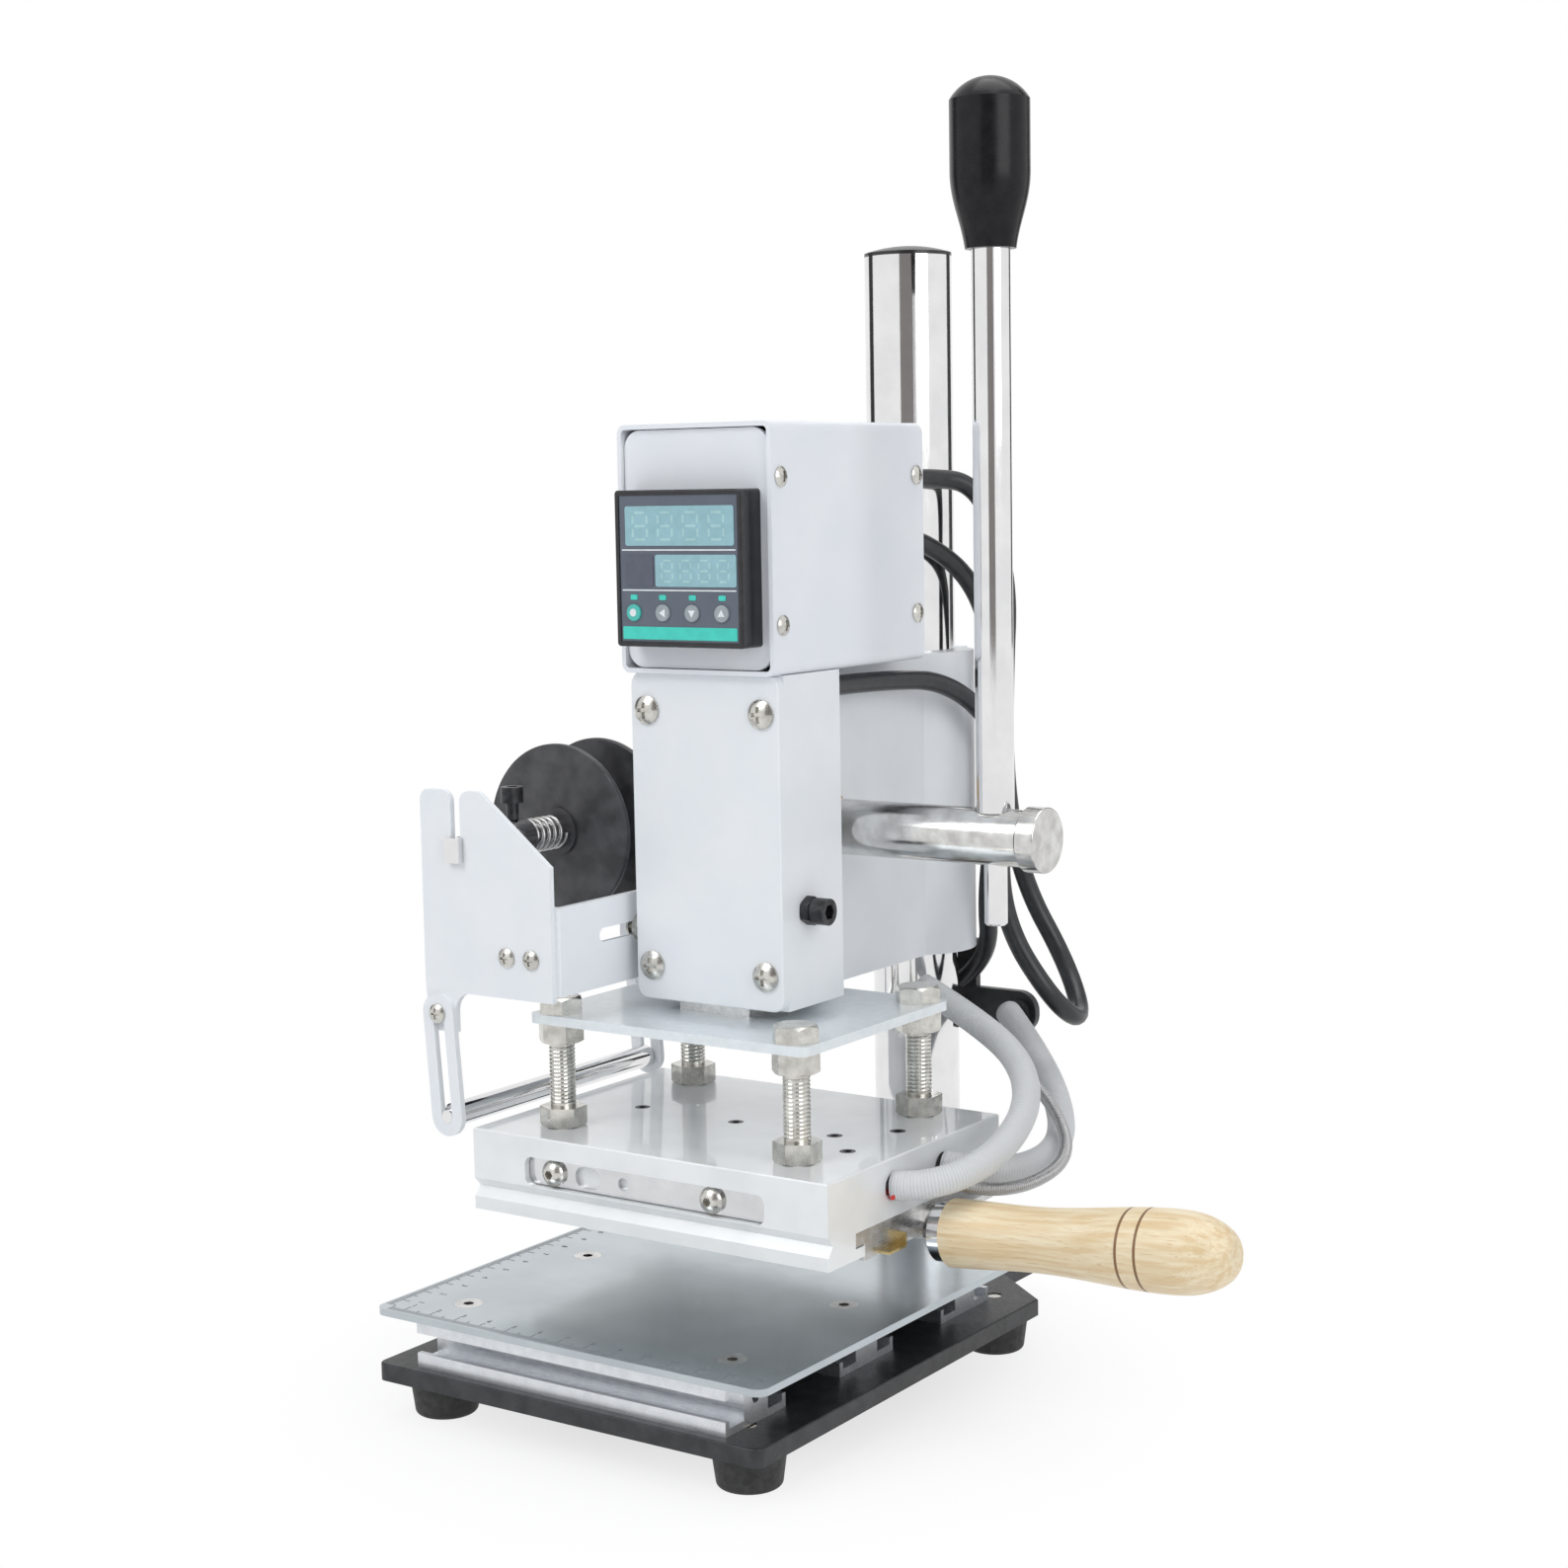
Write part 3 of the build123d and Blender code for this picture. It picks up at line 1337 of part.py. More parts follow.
# Guide arms, slotted, one outside each plate, with the chrome guide bar between them
arm_lean = math.degrees(math.atan2(guide_arm_pivot_x - guide_bar_x, guide_arm_pivot_z - guide_bar_z))
arm_reach = math.hypot(guide_arm_pivot_x - guide_bar_x, guide_arm_pivot_z - guide_bar_z)
arm_length = arm_reach + guide_arm_width
with BuildPart() as one_guide_arm:
    with BuildSketch(Plane.XZ):
        with Locations((0, -arm_reach / 2)):
            SlotOverall(arm_length, guide_arm_width, rotation=90)
            SlotOverall(arm_reach + guide_slot_width, guide_slot_width, rotation=90, mode=Mode.SUBTRACT)
    extrude(amount=holder_thick)
guide_arms = placed(
    one_guide_arm.part,
    [
        Location((guide_arm_pivot_x, holder_front, guide_arm_pivot_z), (0, arm_lean, 0)),
        Location((guide_arm_pivot_x, holder_back + holder_thick, guide_arm_pivot_z), (0, arm_lean, 0)),
    ],
)
guide_arms.label = "guide_arms"
export_step(guide_arms, "parts/guide_arms.step")

bar_length = holder_back - holder_front - 2 * free_gap
with BuildPart() as guide_bar:
    with BuildSketch(Plane.XZ.offset(-holder_front - free_gap)):
        with Locations((guide_bar_x, guide_bar_z)):
            Circle(guide_bar_r)
    extrude(amount=-bar_length)
    chamfer(guide_bar.edges().filter_by(GeomType.CIRCLE), length=edge_round)
    with BuildSketch(Plane.XZ.offset(-holder_front + holder_thick)):
        with Locations((guide_bar_x, guide_bar_z)):
            Circle(guide_slot_width / 2 - running_gap)
    extrude(amount=-(bar_length + 2 * holder_thick + 2 * free_gap))
guide_bar.part.label = "guide_bar"
export_step(guide_bar.part, "parts/guide_bar.step")

# Reel: shaft with flatted ends, two flanges, core, collar and spring
with BuildPart() as reel_shaft:
    with BuildSketch(Plane.XZ.offset(-holder_front - holder_thick - free_gap)):
        with Locations((reel_x, reel_z)):
            Circle(reel_shaft_r)
    extrude(amount=-(holder_back - holder_front - 2 * holder_thick - 2 * free_gap))
    with BuildSketch(Plane.XZ.offset(-holder_front + holder_thick)):
        with Locations((reel_x, reel_z)):
            Circle(reel_neck_width / 2)
    extrude(amount=-(holder_back - holder_front + 2 * holder_thick))
    with BuildSketch(Plane.XZ.offset(-holder_front + holder_thick + free_gap)):
        with Locations((reel_x, reel_z)):
            Rectangle(2 * reel_shaft_r - holder_thick, 2 * reel_shaft_r)
    extrude(amount=-holder_thick)
    with BuildSketch(Plane.XZ.offset(-holder_back - holder_thick - free_gap)):
        with Locations((reel_x, reel_z)):
            Rectangle(2 * reel_shaft_r - holder_thick, 2 * reel_shaft_r)
    extrude(amount=holder_thick)
reel_shaft.part.label = "reel_shaft"
export_step(reel_shaft.part, "parts/reel_shaft.step")

with BuildPart() as front_flange:
    with BuildSketch(Plane.XZ.offset(-front_flange_y)):
        with Locations((reel_x, reel_z)):
            Circle(flange_r)
            Circle(reel_shaft_r + running_gap, mode=Mode.SUBTRACT)
    extrude(amount=-flange_thick)
    fillet(front_flange.edges().filter_by(GeomType.CIRCLE).sort_by(SortBy.RADIUS)[-2:], radius=edge_round)
    with BuildSketch(Plane.XZ.offset(-front_flange_y)):
        with Locations((reel_x, reel_z)):
            Circle(flange_hub_r)
            Circle(reel_shaft_r + running_gap, mode=Mode.SUBTRACT)
    extrude(amount=flange_hub_length / 3)
front_flange.part.label = "front_flange"
export_step(front_flange.part, "parts/front_flange.step")

with BuildPart() as rear_flange:
    with BuildSketch(Plane.XZ.offset(-rear_flange_y)):
        with Locations((reel_x, reel_z)):
            Circle(flange_r)
            Circle(reel_shaft_r + running_gap, mode=Mode.SUBTRACT)
    extrude(amount=-flange_thick)
    fillet(rear_flange.edges().filter_by(GeomType.CIRCLE).sort_by(SortBy.RADIUS)[-2:], radius=edge_round)
    with BuildSketch(Plane.XZ.offset(-front_flange_y - flange_thick - free_gap)):
        with Locations((reel_x, reel_z)):
            Circle(core_r)
            Circle(reel_shaft_r + running_gap, mode=Mode.SUBTRACT)
    extrude(amount=-(rear_flange_y - front_flange_y - flange_thick - free_gap))
rear_flange.part.label = "rear_flange"
export_step(rear_flange.part, "parts/rear_flange.step")

with BuildPart() as reel_collar:
    with BuildSketch(Plane.XZ.offset(-collar_front)):
        with Locations((reel_x, reel_z)):
            Circle(collar_r)
            Circle(reel_shaft_r + running_gap, mode=Mode.SUBTRACT)
    extrude(amount=-collar_length)
    chamfer(reel_collar.edges().filter_by(GeomType.CIRCLE).sort_by(SortBy.RADIUS)[-2:], length=edge_round)
reel_collar.part.label = "reel_collar"
export_step(reel_collar.part, "parts/reel_collar.step")

thumb_y = collar_front + collar_length / 2
with BuildPart() as thumb_screw:
    with BuildSketch(Plane.XY.offset(reel_z + collar_r + running_gap)):
        with Locations((reel_x, thumb_y)):
            Circle(thumb_screw_r)
    extrude(amount=thumb_screw_rise)
    with BuildSketch(Plane.XY.offset(reel_z + collar_r + thumb_screw_rise)):
        with Locations((reel_x, thumb_y)):
            Circle(thumb_screw_head_r)
            RegularPolygon(thumb_screw_r, 6, mode=Mode.SUBTRACT)
    extrude(amount=thumb_screw_head_height)
    with BuildSketch(Plane.XY.offset(reel_z + collar_r + thumb_screw_rise)):
        with Locations((reel_x, thumb_y)):
            Circle(thumb_screw_head_r)
    extrude(amount=thumb_screw_head_height / 3)
thumb_screw.part.label = "thumb_screw"
export_step(thumb_screw.part, "parts/thumb_screw.step")


def biarc(start, start_dir, end, end_dir):
    """Two tangent arcs that join two points with given directions."""
    chord = end - start
    total = start_dir + end_dir
    denominator = 2 * (1 - start_dir.dot(end_dir))
    along = chord.dot(total)
    reach = (math.sqrt(along * along + denominator * chord.dot(chord)) - along) / denominator
    middle = (start + end + (start_dir - end_dir) * reach) * 0.5
    TangentArc([start, middle], tangent=start_dir)
    TangentArc([end, middle], tangent=end_dir * -1, tangent_from_first=True)


# Spring between the collar and the front flange, wound from half turns
spring_start = collar_front + collar_length + spring_wire_r + free_gap
spring_end = front_flange_y - flange_hub_length / 3 - spring_wire_r - free_gap
spring_pitch = (spring_end - spring_start) / spring_turns
spring_slope = spring_pitch / (2 * math.pi * spring_r)
half_turns = 2 * spring_turns
with BuildPart() as reel_spring:
    with BuildLine() as spring_path:
        for half in range(half_turns):
            ends = []
            for step in (half, half + 1):
                angle = math.pi * step
                ends.append(
                    Vector(
                        reel_x + spring_r * math.cos(angle),
                        spring_start + spring_pitch * step / 2,
                        reel_z + spring_r * math.sin(angle),
                    )
                )
                ends.append(
                    Vector(-math.sin(angle), spring_slope, math.cos(angle)).normalized()
                )
            biarc(ends[0], ends[1], ends[2], ends[3])
    with BuildSketch(Plane(spring_path.line @ 0, z_dir=spring_path.line % 0)):
        Circle(spring_wire_r)
    sweep(path=spring_path.line)
print("reel spring gap between turns", round(spring_pitch - 2 * spring_wire_r, 2))
reel_spring.part.label = "reel_spring"
export_step(reel_spring.part, "parts/reel_spring.step")

# Controller box: a folded sheet box, open at the front
box_top = box_bottom + box_height
box_mid_z = (box_bottom + box_top) / 2
box_screw_places = [(y, z) for y in (box_screw_front, box_screw_back) for z in (box_screw_low, box_screw_high)]
panel_front = box_front + panel_inset
with BuildPart() as box_shell:
    with BuildSketch(Plane.XZ.offset(-box_front)):
        with Locations((0, box_mid_z)):
            RectangleRounded(2 * box_half_width, box_height, box_corner_r)
    extrude(amount=-(box_back - box_front))
    with BuildSketch(Plane.XZ.offset(-box_front)):
        with Locations((0, box_mid_z)):
            RectangleRounded(
                2 * (box_half_width - box_wall), box_height - 2 * box_wall, box_corner_r - box_wall
            )
    extrude(amount=-(box_back - box_front - box_wall), mode=Mode.SUBTRACT)
    with BuildSketch(Plane.YZ.offset(-box_half_width)):
        with Locations(*box_screw_places):
            Circle(small_screw_r + running_gap)
    extrude(amount=2 * box_half_width, mode=Mode.SUBTRACT)
box_shell.part.label = "box_shell"
export_step(box_shell.part, "parts/box_shell.step")

with BuildPart() as box_panel:
    with BuildSketch(Plane.XZ.offset(-panel_front)):
        with Locations((0, box_mid_z)):
            RectangleRounded(
                2 * (box_half_width - box_wall - panel_gap),
                box_height - 2 * (box_wall + panel_gap),
                panel_corner_r,
            )
        with Locations((0, controller_z)):
            Rectangle(2 * (case_half + panel_gap), 2 * (case_half + panel_gap), mode=Mode.SUBTRACT)
    extrude(amount=-panel_thick)
box_panel.part.label = "box_panel"
export_step(box_panel.part, "parts/box_panel.step")

box_screw = screw(
    small_head_r, small_head_height, small_screw_r, 2 * box_wall, cross_width=cross_recess_width
)
box_screws = placed(
    box_screw,
    [Location((box_half_width, y, z), (0, 90, 0)) for y, z in box_screw_places]
    + [Location((-box_half_width, y, z), (0, -90, 0)) for y, z in box_screw_places],
)
box_screws.label = "box_screws"
export_step(box_screws, "parts/box_screws.step")

# Controller: a case behind the panel and a square bezel in front of it
button_places = [button_first_x + button_pitch * index for index in range(len(button_names))]
bezel_depth = panel_front - bezel_front
button_seat_y = bezel_front + face_sink
with BuildPart() as controller_case:
    with BuildSketch(Plane.XZ.offset(-bezel_front)):
        with Locations((0, controller_z)):
            RectangleRounded(2 * bezel_half, 2 * bezel_half, bezel_corner_r)
    extrude(amount=-bezel_depth)
    fillet(controller_case.faces().sort_by(Axis.Y)[0].outer_wire().edges(), radius=edge_round)
    with BuildSketch(Plane.XZ.offset(-panel_front)):
        with Locations((0, controller_z)):
            Rectangle(2 * case_half, 2 * case_half)
    extrude(amount=-case_length)
    with BuildSketch(Plane.XZ.offset(-bezel_front)):
        with Locations((0, controller_z)):
            Rectangle(2 * (bezel_half - bezel_rim), 2 * (bezel_half - bezel_rim))
    extrude(amount=-face_sink, mode=Mode.SUBTRACT)
    with BuildSketch(Plane.XZ.offset(-button_seat_y)):
        with Locations(*[(x, button_z) for x in button_places]):
            Circle(button_flange_r + running_gap)
    extrude(amount=-(button_flange_thick + button_travel + free_gap), mode=Mode.SUBTRACT)
controller_case.part.label = "controller_case"
export_step(controller_case.part, "parts/controller_case.step")

# Face plate of the controller, with four button holes
face_thick = face_sink / 2
face_width = 2 * (bezel_half - bezel_rim - running_gap)
with BuildPart() as controller_face:
    with BuildSketch(Plane.XZ.offset(-button_seat_y)):
        with Locations((0, controller_z)):
            Rectangle(face_width, face_width)
        with Locations(*[(x, button_z) for x in button_places]):
            Circle(button_r + running_gap, mode=Mode.SUBTRACT)
    extrude(amount=face_thick)
controller_face.part.label = "controller_face"
export_step(controller_face.part, "parts/controller_face.step")

for button_name, button_x in zip(button_names, button_places):
    with BuildPart() as button:
        with BuildSketch(Plane.XZ.offset(-button_seat_y - running_gap)):
            with Locations((button_x, button_z)):
                Circle(button_flange_r)
        extrude(amount=-button_flange_thick)
        with BuildSketch(Plane.XZ.offset(-button_seat_y - running_gap)):
            with Locations((button_x, button_z)):
                Circle(button_r)
        extrude(amount=face_thick + button_proud)
        fillet(button.faces().sort_by(Axis.Y)[0].edges(), radius=edge_round / 2)
    button.part.label = button_name
    export_step(button.part, f"parts/{button_name}.step")

# Rear cable bracket: a plate under the boss, with a rounded arm to the right
with BuildPart() as cable_bracket:
    with BuildSketch(Plane.XZ.offset(-cable_bracket_y)):
        with BuildLine():
            Polyline(
                (-cable_bracket_half_width, cable_bracket_top),
                (cable_bracket_half_width, cable_bracket_top),
                (cable_bracket_half_width, cable_bracket_neck),
                (cable_bracket_reach, cable_bracket_neck),
                (cable_bracket_reach, cable_bracket_bottom),
                (-cable_bracket_half_width, cable_bracket_bottom),
                close=True,
            )
        make_face()
    extrude(amount=-cable_bracket_thick)
    bracket_ends = cable_bracket.edges().filter_by(Axis.Y).group_by(Axis.X)[-1]
    fillet(bracket_ends, radius=(cable_bracket_neck - cable_bracket_bottom) / 2 - edge_round)
    with BuildSketch(Plane.XZ.offset(-cable_bracket_y)):
        with Locations((cable_bracket_screw_x, (cable_bracket_neck + cable_bracket_bottom) / 2)):
            Circle(dome_head_r)
    extrude(amount=dome_head_height)
    with BuildSketch(Plane.XY.offset(cable_bracket_top - cable_bracket_thick)):
        with Locations((0, cable_bracket_y)):
            Rectangle(2 * ear_half_width, cable_bracket_thick, align=(Align.CENTER, Align.MIN))
            Rectangle(2 * ear_half_width, post_r / 4, align=(Align.CENTER, Align.MAX))
    extrude(amount=cable_bracket_thick)
cable_bracket.part.label = "cable_bracket"
export_step(cable_bracket.part, "parts/cable_bracket.step")


def bend_radii(route):
    """A radius for each inner point of a route, from its shorter run and its turn."""
    radii = []
    for before, point, after in zip(route, route[1:], route[2:]):
        run_in = point - before
        run_out = after - point
        half_turn = math.radians(run_in.get_angle(run_out)) / 2
        radii.append(cable_bend_share * min(run_in.length, run_out.length) / math.tan(half_turn))
    return radii


def cable(route, tube_r):
    """A round tube along a route, with every turn rounded."""
    radii = bend_radii(route)
    print("bend radii over diameter", [round(radius / (2 * tube_r), 1) for radius in radii])
    with BuildPart() as tube:
        with BuildLine() as path:
            FilletPolyline(*route, radius=radii)
        with BuildSketch(Plane(path.line @ 0, z_dir=path.line % 0)):
            Circle(tube_r)
        sweep(path=path.line)
    print("length", round(sum(edge.length for edge in path.edges()), 1))
    return tube.part


# Two cables from the box: one to the bracket, one that loops down and back to the housing
lower_cable = cable(lower_cable_route, cable_r)
upper_cable = cable(upper_cable_route, cable_r)
with BuildPart() as rear_cables:
    add(lower_cable)
    add(upper_cable)
rear_cables.part.label = "rear_cables"
export_step(rear_cables.part, "parts/rear_cables.step")

# Two sleeved heater leads and an armoured thermocouple lead, from the block's right face
front_lead = cable(front_lead_route, heater_lead_r)
back_lead = cable(back_lead_route, heater_lead_r)
with BuildPart() as heater_lead:
    add(front_lead)
    add(back_lead)
heater_lead.part.label = "heater_lead"
export_step(heater_lead.part, "parts/heater_lead.step")

thermocouple_lead = cable(thermocouple_route, thermocouple_lead_r)
thermocouple_lead.label = "thermocouple_lead"
export_step(thermocouple_lead, "parts/thermocouple_lead.step")
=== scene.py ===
import bpy
import bmesh
import math
from mathutils import Matrix, Vector


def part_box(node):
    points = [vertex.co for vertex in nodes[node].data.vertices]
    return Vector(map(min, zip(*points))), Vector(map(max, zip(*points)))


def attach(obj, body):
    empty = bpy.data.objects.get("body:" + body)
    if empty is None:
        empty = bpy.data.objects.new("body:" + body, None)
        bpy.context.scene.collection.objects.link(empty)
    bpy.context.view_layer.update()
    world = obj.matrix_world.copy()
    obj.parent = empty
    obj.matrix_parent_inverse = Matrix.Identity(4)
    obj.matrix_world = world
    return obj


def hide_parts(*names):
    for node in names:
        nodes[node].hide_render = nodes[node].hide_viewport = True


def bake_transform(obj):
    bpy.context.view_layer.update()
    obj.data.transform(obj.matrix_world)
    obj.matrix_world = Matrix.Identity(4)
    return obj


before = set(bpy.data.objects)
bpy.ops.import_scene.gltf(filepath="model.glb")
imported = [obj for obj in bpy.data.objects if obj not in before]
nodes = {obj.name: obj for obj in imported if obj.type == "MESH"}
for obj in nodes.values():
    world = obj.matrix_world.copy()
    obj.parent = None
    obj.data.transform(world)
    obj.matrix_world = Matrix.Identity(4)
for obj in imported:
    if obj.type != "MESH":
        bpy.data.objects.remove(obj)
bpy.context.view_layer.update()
MM = 0.001

# Ranges of the two noises in every finish, and how strongly the fine one shows as a bump
cloud_range = (0.35, 0.65)
streak_range = (0.3, 0.7)
streak_strength = 0.35


# Node helpers for materials
def new_material(name):
    """An empty node material with its output and shader, and the object coordinates in millimetres."""
    material = bpy.data.materials.new(name)
    material.use_nodes = True
    tree = material.node_tree
    shader = tree.nodes["Principled BSDF"]
    place = tree.nodes.new("ShaderNodeTexCoord")
    scale = tree.nodes.new("ShaderNodeVectorMath")
    scale.operation = "SCALE"
    scale.inputs["Scale"].default_value = 1000.0
    tree.links.new(place.outputs["Object"], scale.inputs[0])
    return material, tree, shader, scale.outputs[0]


def stretched(tree, place, factors):
    """The coordinates multiplied by three factors."""
    multiply = tree.nodes.new("ShaderNodeVectorMath")
    multiply.operation = "MULTIPLY"
    multiply.inputs[1].default_value = factors
    tree.links.new(place, multiply.inputs[0])
    return multiply.outputs[0]


def noise(tree, place, scale, detail=4.0):
    """A noise of a given frequency per millimetre."""
    texture = tree.nodes.new("ShaderNodeTexNoise")
    texture.inputs["Scale"].default_value = scale
    texture.inputs["Detail"].default_value = detail
    tree.links.new(place, texture.inputs["Vector"])
    return texture.outputs["Fac"]


def spread(tree, value, low, high, to_low, to_high):
    """A value moved from one range to another."""
    mapping = tree.nodes.new("ShaderNodeMapRange")
    mapping.inputs["From Min"].default_value = low
    mapping.inputs["From Max"].default_value = high
    mapping.inputs["To Min"].default_value = to_low
    mapping.inputs["To Max"].default_value = to_high
    tree.links.new(value, mapping.inputs["Value"])
    return mapping.outputs["Result"]


def blend_colours(tree, value, first, second):
    """Two colours mixed by a value."""
    mix = tree.nodes.new("ShaderNodeMix")
    mix.data_type = "RGBA"
    tree.links.new(value, mix.inputs["Factor"])
    for socket, colour in ((mix.inputs[6], first), (mix.inputs[7], second)):
        if hasattr(colour, "is_linked"):
            tree.links.new(colour, socket)
        else:
            socket.default_value = (*colour, 1.0)
    return mix.outputs[2]


def add_bump(tree, shader, height, strength, distance):
    """A bump from a height, in millimetres, after any bump already there."""
    bump = tree.nodes.new("ShaderNodeBump")
    bump.inputs["Strength"].default_value = strength
    bump.inputs["Distance"].default_value = distance * MM
    tree.links.new(height, bump.inputs["Height"])
    before = shader.inputs["Normal"]
    if before.is_linked:
        tree.links.new(before.links[0].from_socket, bump.inputs["Normal"])
    tree.links.new(bump.outputs["Normal"], before)


def finish(
    name, colour, other, metallic, rough, grain=(1.0, 1.0, 1.0), size=0.3, depth=0.02, fine=2.5, coat=0.0
):
    """A finish with two close colours, a fine bump and uneven gloss."""
    material, tree, shader, place = new_material(name)
    along = stretched(tree, place, grain)
    cloud = noise(tree, place, size)
    tone = spread(tree, cloud, *cloud_range, 0.0, 1.0)
    tree.links.new(blend_colours(tree, tone, colour, other), shader.inputs["Base Color"])
    shader.inputs["Metallic"].default_value = metallic
    streak = noise(tree, along, fine, 2.0)
    tree.links.new(spread(tree, streak, *streak_range, *rough), shader.inputs["Roughness"])
    add_bump(tree, shader, streak, streak_strength, depth)
    shader.inputs["Coat Weight"].default_value = coat
    return material


# Painted, moulded and metal finishes: two colours, metallic, the range of roughness, then grain and bump
grip_shine = 0.22

white_paint = finish(
    "white_paint", (0.8, 0.83, 0.86), (0.84, 0.86, 0.88), 0.0, (0.3, 0.42), size=0.05, depth=0.03, fine=1.6
)
box_paint = finish(
    "box_paint", (0.8, 0.83, 0.87), (0.84, 0.86, 0.89), 0.0, (0.28, 0.38), size=0.04, depth=0.015, fine=2.2
)
black_paint = finish(
    "black_paint", (0.012, 0.013, 0.015), (0.03, 0.031, 0.034), 0.0, (0.35, 0.5),
    size=0.2, depth=0.05, fine=1.8
)
chrome = finish(
    "chrome", (0.8, 0.8, 0.8), (0.74, 0.74, 0.75), 1.0, (0.05, 0.11),
    grain=(0.4, 0.4, 0.05), size=0.1, depth=0.002
)
steel = finish(
    "steel", (0.62, 0.62, 0.62), (0.5, 0.49, 0.48), 1.0, (0.22, 0.4), grain=(1.0, 0.1, 1.0), depth=0.01
)
table_metal = finish(
    "table_metal", (0.52, 0.57, 0.6), (0.45, 0.49, 0.52), 1.0, (0.14, 0.24),
    grain=(0.05, 1.4, 1.0), size=0.03, depth=0.006
)
zinc = finish("zinc", (0.68, 0.67, 0.63), (0.5, 0.49, 0.46), 1.0, (0.14, 0.32), size=0.25, depth=0.01)
nickel = finish(
    "nickel", (0.7, 0.7, 0.69), (0.52, 0.51, 0.5), 1.0, (0.12, 0.24),
    grain=(0.1, 1.0, 1.0), size=0.2, depth=0.006
)
strip_metal = finish(
    "strip_metal", (0.7, 0.71, 0.72), (0.6, 0.61, 0.62), 1.0, (0.12, 0.2), grain=(0.05, 1.0, 1.0), size=0.08
)
black_steel = finish("black_steel", (0.02, 0.02, 0.022), (0.06, 0.06, 0.065), 0.6, (0.3, 0.45), depth=0.01)
rubber = finish(
    "rubber", (0.012, 0.012, 0.013), (0.035, 0.035, 0.036), 0.0, (0.5, 0.7), size=0.4, depth=0.03
)
grip_black = finish(
    "grip_black", (0.006, 0.006, 0.008), (0.011, 0.011, 0.013), 0.0, (0.2, 0.3), depth=0.006, fine=2.0
)
grip_black.node_tree.nodes["Principled BSDF"].inputs["Specular IOR Level"].default_value = grip_shine
moulded = finish(
    "moulded", (0.01, 0.01, 0.012), (0.018, 0.018, 0.02), 0.0, (0.25, 0.35), depth=0.01, fine=3.0
)
reel_black = finish(
    "reel_black", (0.03, 0.03, 0.033), (0.075, 0.075, 0.08), 0.0, (0.3, 0.5),
    grain=(1.0, 1.0, 0.4), size=0.12, depth=0.015
)
gloss_black = finish(
    "gloss_black", (0.012, 0.012, 0.015), (0.02, 0.02, 0.024), 0.0, (0.15, 0.25), depth=0.004
)
face_slate = finish(
    "face_slate", (0.1, 0.12, 0.155), (0.115, 0.135, 0.17), 0.0, (0.12, 0.2), size=0.1, depth=0.003
)
bronze = finish("bronze", (0.55, 0.38, 0.18), (0.45, 0.3, 0.14), 1.0, (0.3, 0.45), grain=(0.1, 1.0, 1.0))
brass = finish("brass", (0.75, 0.6, 0.3), (0.62, 0.48, 0.22), 1.0, (0.25, 0.4))
milled = finish(
    "milled", (0.86, 0.88, 0.89), (0.8, 0.82, 0.83), 0.22, (0.28, 0.44),
    grain=(0.08, 1.6, 1.6), size=0.06, depth=0.015, coat=0.8
)
extruded = finish(
    "extruded", (0.74, 0.76, 0.79), (0.66, 0.68, 0.71), 0.9, (0.25, 0.4),
    grain=(0.03, 2.0, 2.0), depth=0.015
)
plate_metal = finish(
    "plate_metal", (0.78, 0.83, 0.86), (0.72, 0.77, 0.8), 0.5, (0.28, 0.42), grain=(0.1, 1.0, 1.0), coat=0.5
)
cable_skin = finish(
    "cable_skin", (0.012, 0.013, 0.016), (0.022, 0.023, 0.026), 0.0, (0.28, 0.38), depth=0.008
)

# Wood of the turned handle: its place and tilt, grain, colours and two dark grooves
handle_tilt = math.radians(4.2)
handle_start = (73.4, 7.0, 57.4)
handle_axis = (math.cos(handle_tilt), 0.0, math.sin(handle_tilt))
handle_grooves = (67.4, 73.6)
groove_half = 0.45
grain_stretch = (0.035, 0.6, 0.6)
pore_stretch = (0.12, 3.0, 3.0)
wood_dark = (0.76, 0.58, 0.34)
wood_light = (0.87, 0.75, 0.53)
pore_brown = (0.62, 0.41, 0.2)
groove_brown = (0.22, 0.11, 0.045)


def wood_material(name):
    """Turned wood with grain along the handle and dark turned grooves."""
    material, tree, shader, place = new_material(name)
    turned = tree.nodes.new("ShaderNodeMapping")
    turned.inputs["Rotation"].default_value = (0.0, handle_tilt, 0.0)
    tree.links.new(place, turned.inputs["Vector"])
    grain = noise(tree, stretched(tree, turned.outputs[0], grain_stretch), 1.0, 6.0)
    pores = noise(tree, stretched(tree, turned.outputs[0], pore_stretch), 1.0, 3.0)
    ring = blend_colours(tree, spread(tree, grain, 0.38, 0.62, 0.0, 1.0), wood_dark, wood_light)
    toned = blend_colours(tree, spread(tree, pores, 0.3, 0.4, 0.8, 0.0), ring, pore_brown)
    offset = tree.nodes.new("ShaderNodeVectorMath")
    offset.operation = "SUBTRACT"
    offset.inputs[1].default_value = handle_start
    tree.links.new(place, offset.inputs[0])
    along = tree.nodes.new("ShaderNodeVectorMath")
    along.operation = "DOT_PRODUCT"
    along.inputs[1].default_value = handle_axis
    tree.links.new(offset.outputs[0], along.inputs[0])
    colour = toned
    for distance in handle_grooves:
        near = tree.nodes.new("ShaderNodeMath")
        near.operation = "COMPARE"
        near.inputs[1].default_value = distance
        near.inputs[2].default_value = groove_half
        tree.links.new(along.outputs["Value"], near.inputs[0])
        colour = blend_colours(tree, near.outputs[0], colour, groove_brown)
    tree.links.new(colour, shader.inputs["Base Color"])
    tree.links.new(spread(tree, grain, *streak_range, 0.3, 0.45), shader.inputs["Roughness"])
    add_bump(tree, shader, pores, 0.4, 0.04)
    return material


wood = wood_material("wood")


